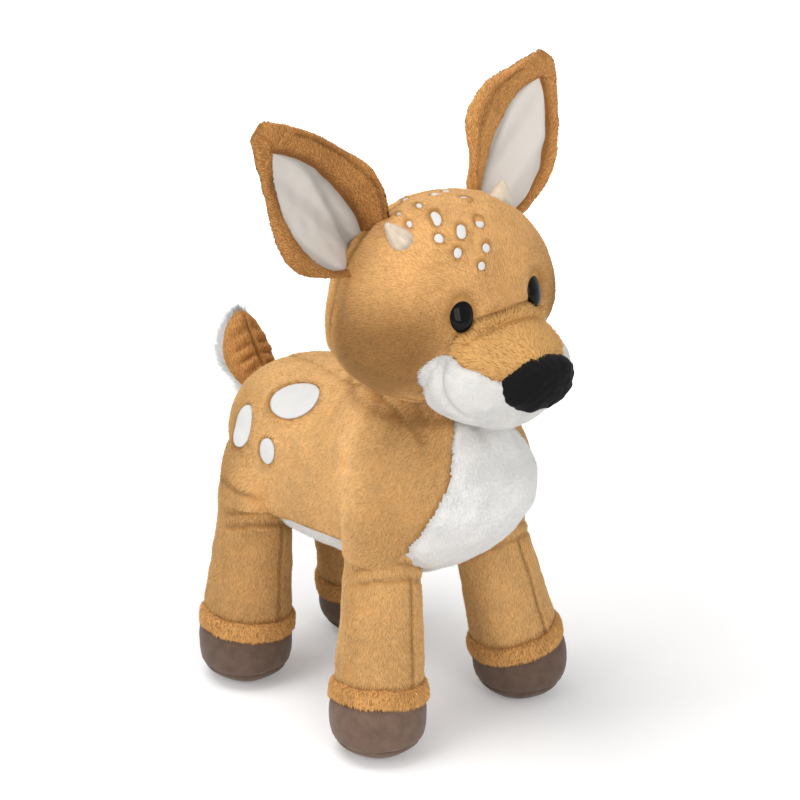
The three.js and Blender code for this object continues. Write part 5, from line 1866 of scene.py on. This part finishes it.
def add_hooves():
    for name in leg_names:
        skin, body = hoof_skin(name), f"leg_{name}"
        upper = skin.fields["upper"]
        cloth(f"hoof_{name}_cloth", skin, body, suede(), [f"hoof_cover_{name}"], upper)
        cloth(f"sole_{name}_cloth", skin, body, suede(), [f"sole_{name}"], -upper)


def add_filling():
    """Gives the stuffing and the lock washers inside their finishes."""
    for name, node in frame["nodes"].items():
        if "stuffing" in name:
            material = fibre()
        elif "washer" in name:
            material = washer_plastic()
        else:
            continue
        for slot in node.material_slots:
            slot.material = material


# Floor, light and camera

floor_half = 6.0  # metres from its middle to its edge
floor_colour = (0.92, 0.92, 0.92)
fill_light = 0.5  # strength of the white all round where it lights
camera_place = (-1.34402, -1.36070, 1.01794)
camera_aim = (0, -0.01668, 0.25)
lamp_aim = (0, 0, 0.25)
# Name, place, the point that it looks at, side in metres and power in watts
lamps = (
    ("Overhead soft box", (-0.6, 0.3, 2.2), (0, 0, 0.2), 1.2, 23),
    ("Front soft box", (-0.9, -2.3, 1.1), lamp_aim, 1.4, 25),
    ("Left soft box", (-2.3, 0.4, 1.2), lamp_aim, 1.4, 14),
)


def add_floor():
    """A wide pale floor. To the camera it adds a plain white glow, so that it meets the white beyond."""
    corners = np.array([[-1, -1, 0], [1, -1, 0], [1, 1, 0], [-1, 1, 0]]) * floor_half
    floor = mesh_object("floor", corners, np.array([[0, 1, 2, 3]]))
    material, nodes = bare_material("Pale floor")
    matt = nodes.add("ShaderNodeBsdfDiffuse", Color=floor_colour)
    place = nodes.add("ShaderNodeTexCoord").outputs["Object"]
    away = nodes.add("ShaderNodeVectorMath", {"operation": "LENGTH"})
    nodes.feed(away.inputs[0], place)
    ramp = nodes.add("ShaderNodeMapRange", From_Min=0.3, From_Max=1.1, To_Min=0.17, To_Max=0.95)
    nodes.feed(ramp.inputs["Value"], away.outputs["Value"])
    strength = nodes.maths("MULTIPLY", nodes.seen(), ramp.outputs[0])
    glow = nodes.add("ShaderNodeEmission", Color=(1, 1, 1), Strength=strength)
    both = nodes.add("ShaderNodeAddShader")
    nodes.feed(both.inputs[0], matt.outputs[0])
    nodes.feed(both.inputs[1], glow.outputs[0])
    output = nodes.add("ShaderNodeOutputMaterial")
    nodes.feed(output.inputs["Surface"], both.outputs[0])
    floor.data.materials.append(material)
    floor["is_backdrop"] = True


def add_world():
    """White all round: strength 1 where it is seen, and a plain soft fill where it lights."""
    world = bpy.data.worlds.new("Studio")
    bpy.context.scene.world = world
    world.use_nodes = True
    world.node_tree.nodes.clear()
    nodes = Nodes(world.node_tree)
    strength = nodes.maths("ADD", nodes.maths("MULTIPLY", nodes.seen(), 1 - fill_light), fill_light)
    backdrop = nodes.add("ShaderNodeBackground", Color=(1, 1, 1), Strength=strength)
    output = nodes.add("ShaderNodeOutputWorld")
    nodes.feed(output.inputs["Surface"], backdrop.outputs[0])


def add_lamp(name, place, aim, size, power):
    """A square soft box that looks at a point."""
    data = bpy.data.lights.new(name, "AREA")
    data.size = size
    data.energy = power
    lamp = bpy.data.objects.new(name, data)
    lamp.location = place
    lamp.rotation_euler = (Vector(aim) - Vector(place)).to_track_quat("-Z", "Y").to_euler()
    bpy.context.scene.collection.objects.link(lamp)


def add_camera():
    """A long lens from the deer's right front, a little above it."""
    data = bpy.data.cameras.new("Camera")
    data.lens = 123.0
    data.sensor_width = 36.0
    camera = bpy.data.objects.new("Camera", data)
    camera.location = camera_place
    camera.rotation_euler = (Vector(camera_aim) - camera.location).to_track_quat("-Z", "Y").to_euler()
    bpy.context.scene.collection.objects.link(camera)
    bpy.context.scene.camera = camera


def add_stage():
    add_floor()
    add_world()
    for lamp in lamps:
        add_lamp(*lamp)
    add_camera()
    bpy.context.scene.view_settings.view_transform = "Standard"


# Operators and panel


class DEER_OT_stage(bpy.types.Operator):
    """Adds the floor, the light and the camera"""

    bl_idname = "deer.stage"
    bl_label = "Stage"

    def execute(self, context):
        add_stage()
        return {"FINISHED"}


class DEER_OT_torso(bpy.types.Operator):
    """Adds the torso's cover, its white panel and the rump patches"""

    bl_idname = "deer.torso"
    bl_label = "Torso"

    def execute(self, context):
        add_torso()
        return {"FINISHED"}


class DEER_OT_head(bpy.types.Operator):
    """Adds the head, the muzzle, the nose, the eyes, the forehead spots and the horns"""

    bl_idname = "deer.head"
    bl_label = "Head"

    def execute(self, context):
        add_head()
        return {"FINISHED"}


class DEER_OT_ears(bpy.types.Operator):
    """Adds the ears and their linings"""

    bl_idname = "deer.ears"
    bl_label = "Ears"

    def execute(self, context):
        add_ears()
        return {"FINISHED"}


class DEER_OT_tail(bpy.types.Operator):
    """Adds the tail and its white fringe"""

    bl_idname = "deer.tail"
    bl_label = "Tail"

    def execute(self, context):
        add_tail()
        return {"FINISHED"}


class DEER_OT_legs(bpy.types.Operator):
    """Adds the legs' covers and cuffs"""

    bl_idname = "deer.legs"
    bl_label = "Legs"

    def execute(self, context):
        add_legs()
        return {"FINISHED"}


class DEER_OT_hooves(bpy.types.Operator):
    """Adds the suede hooves and their soles"""

    bl_idname = "deer.hooves"
    bl_label = "Hooves"

    def execute(self, context):
        add_hooves()
        return {"FINISHED"}


class DEER_OT_filling(bpy.types.Operator):
    """Gives the stuffing and the lock washers their finishes"""

    bl_idname = "deer.filling"
    bl_label = "Filling"

    def execute(self, context):
        add_filling()
        return {"FINISHED"}


operators = (
    DEER_OT_stage, DEER_OT_torso, DEER_OT_head, DEER_OT_ears,
    DEER_OT_tail, DEER_OT_legs, DEER_OT_hooves, DEER_OT_filling,
)


class DEER_PT_panel(bpy.types.Panel):
    """Lists the deer's sizes, colours and pieces"""

    bl_idname = "DEER_PT_panel"
    bl_label = "Plush deer"
    bl_space_type = "VIEW_3D"
    bl_region_type = "UI"
    bl_category = "Plush deer"

    def draw(self, context):
        for operator in operators:
            self.layout.operator(operator.bl_idname)
        for group in (context.scene.deer_sizes, context.scene.deer_colours):
            box = self.layout.box()
            for name in group.__annotations__:
                box.prop(group, name)


classes = (DeerSizes, DeerColours, *operators, DEER_PT_panel)


def register():
    for one in classes:
        bpy.utils.register_class(one)
    bpy.types.Scene.deer_sizes = PointerProperty(type=DeerSizes)
    bpy.types.Scene.deer_colours = PointerProperty(type=DeerColours)


def unregister():
    del bpy.types.Scene.deer_colours
    del bpy.types.Scene.deer_sizes
    for one in reversed(classes):
        bpy.utils.unregister_class(one)


def main():
    """Builds the whole deer."""
    register()
    for operator in operators:
        group, name = operator.bl_idname.split(".")
        getattr(getattr(bpy.ops, group), name)()
    boxes = {"cad": cad_bounds, "visual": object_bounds()}
    {name: [list(corner) for corner in box] for name, box in boxes.items()}


if __name__ == "__main__":
    main()
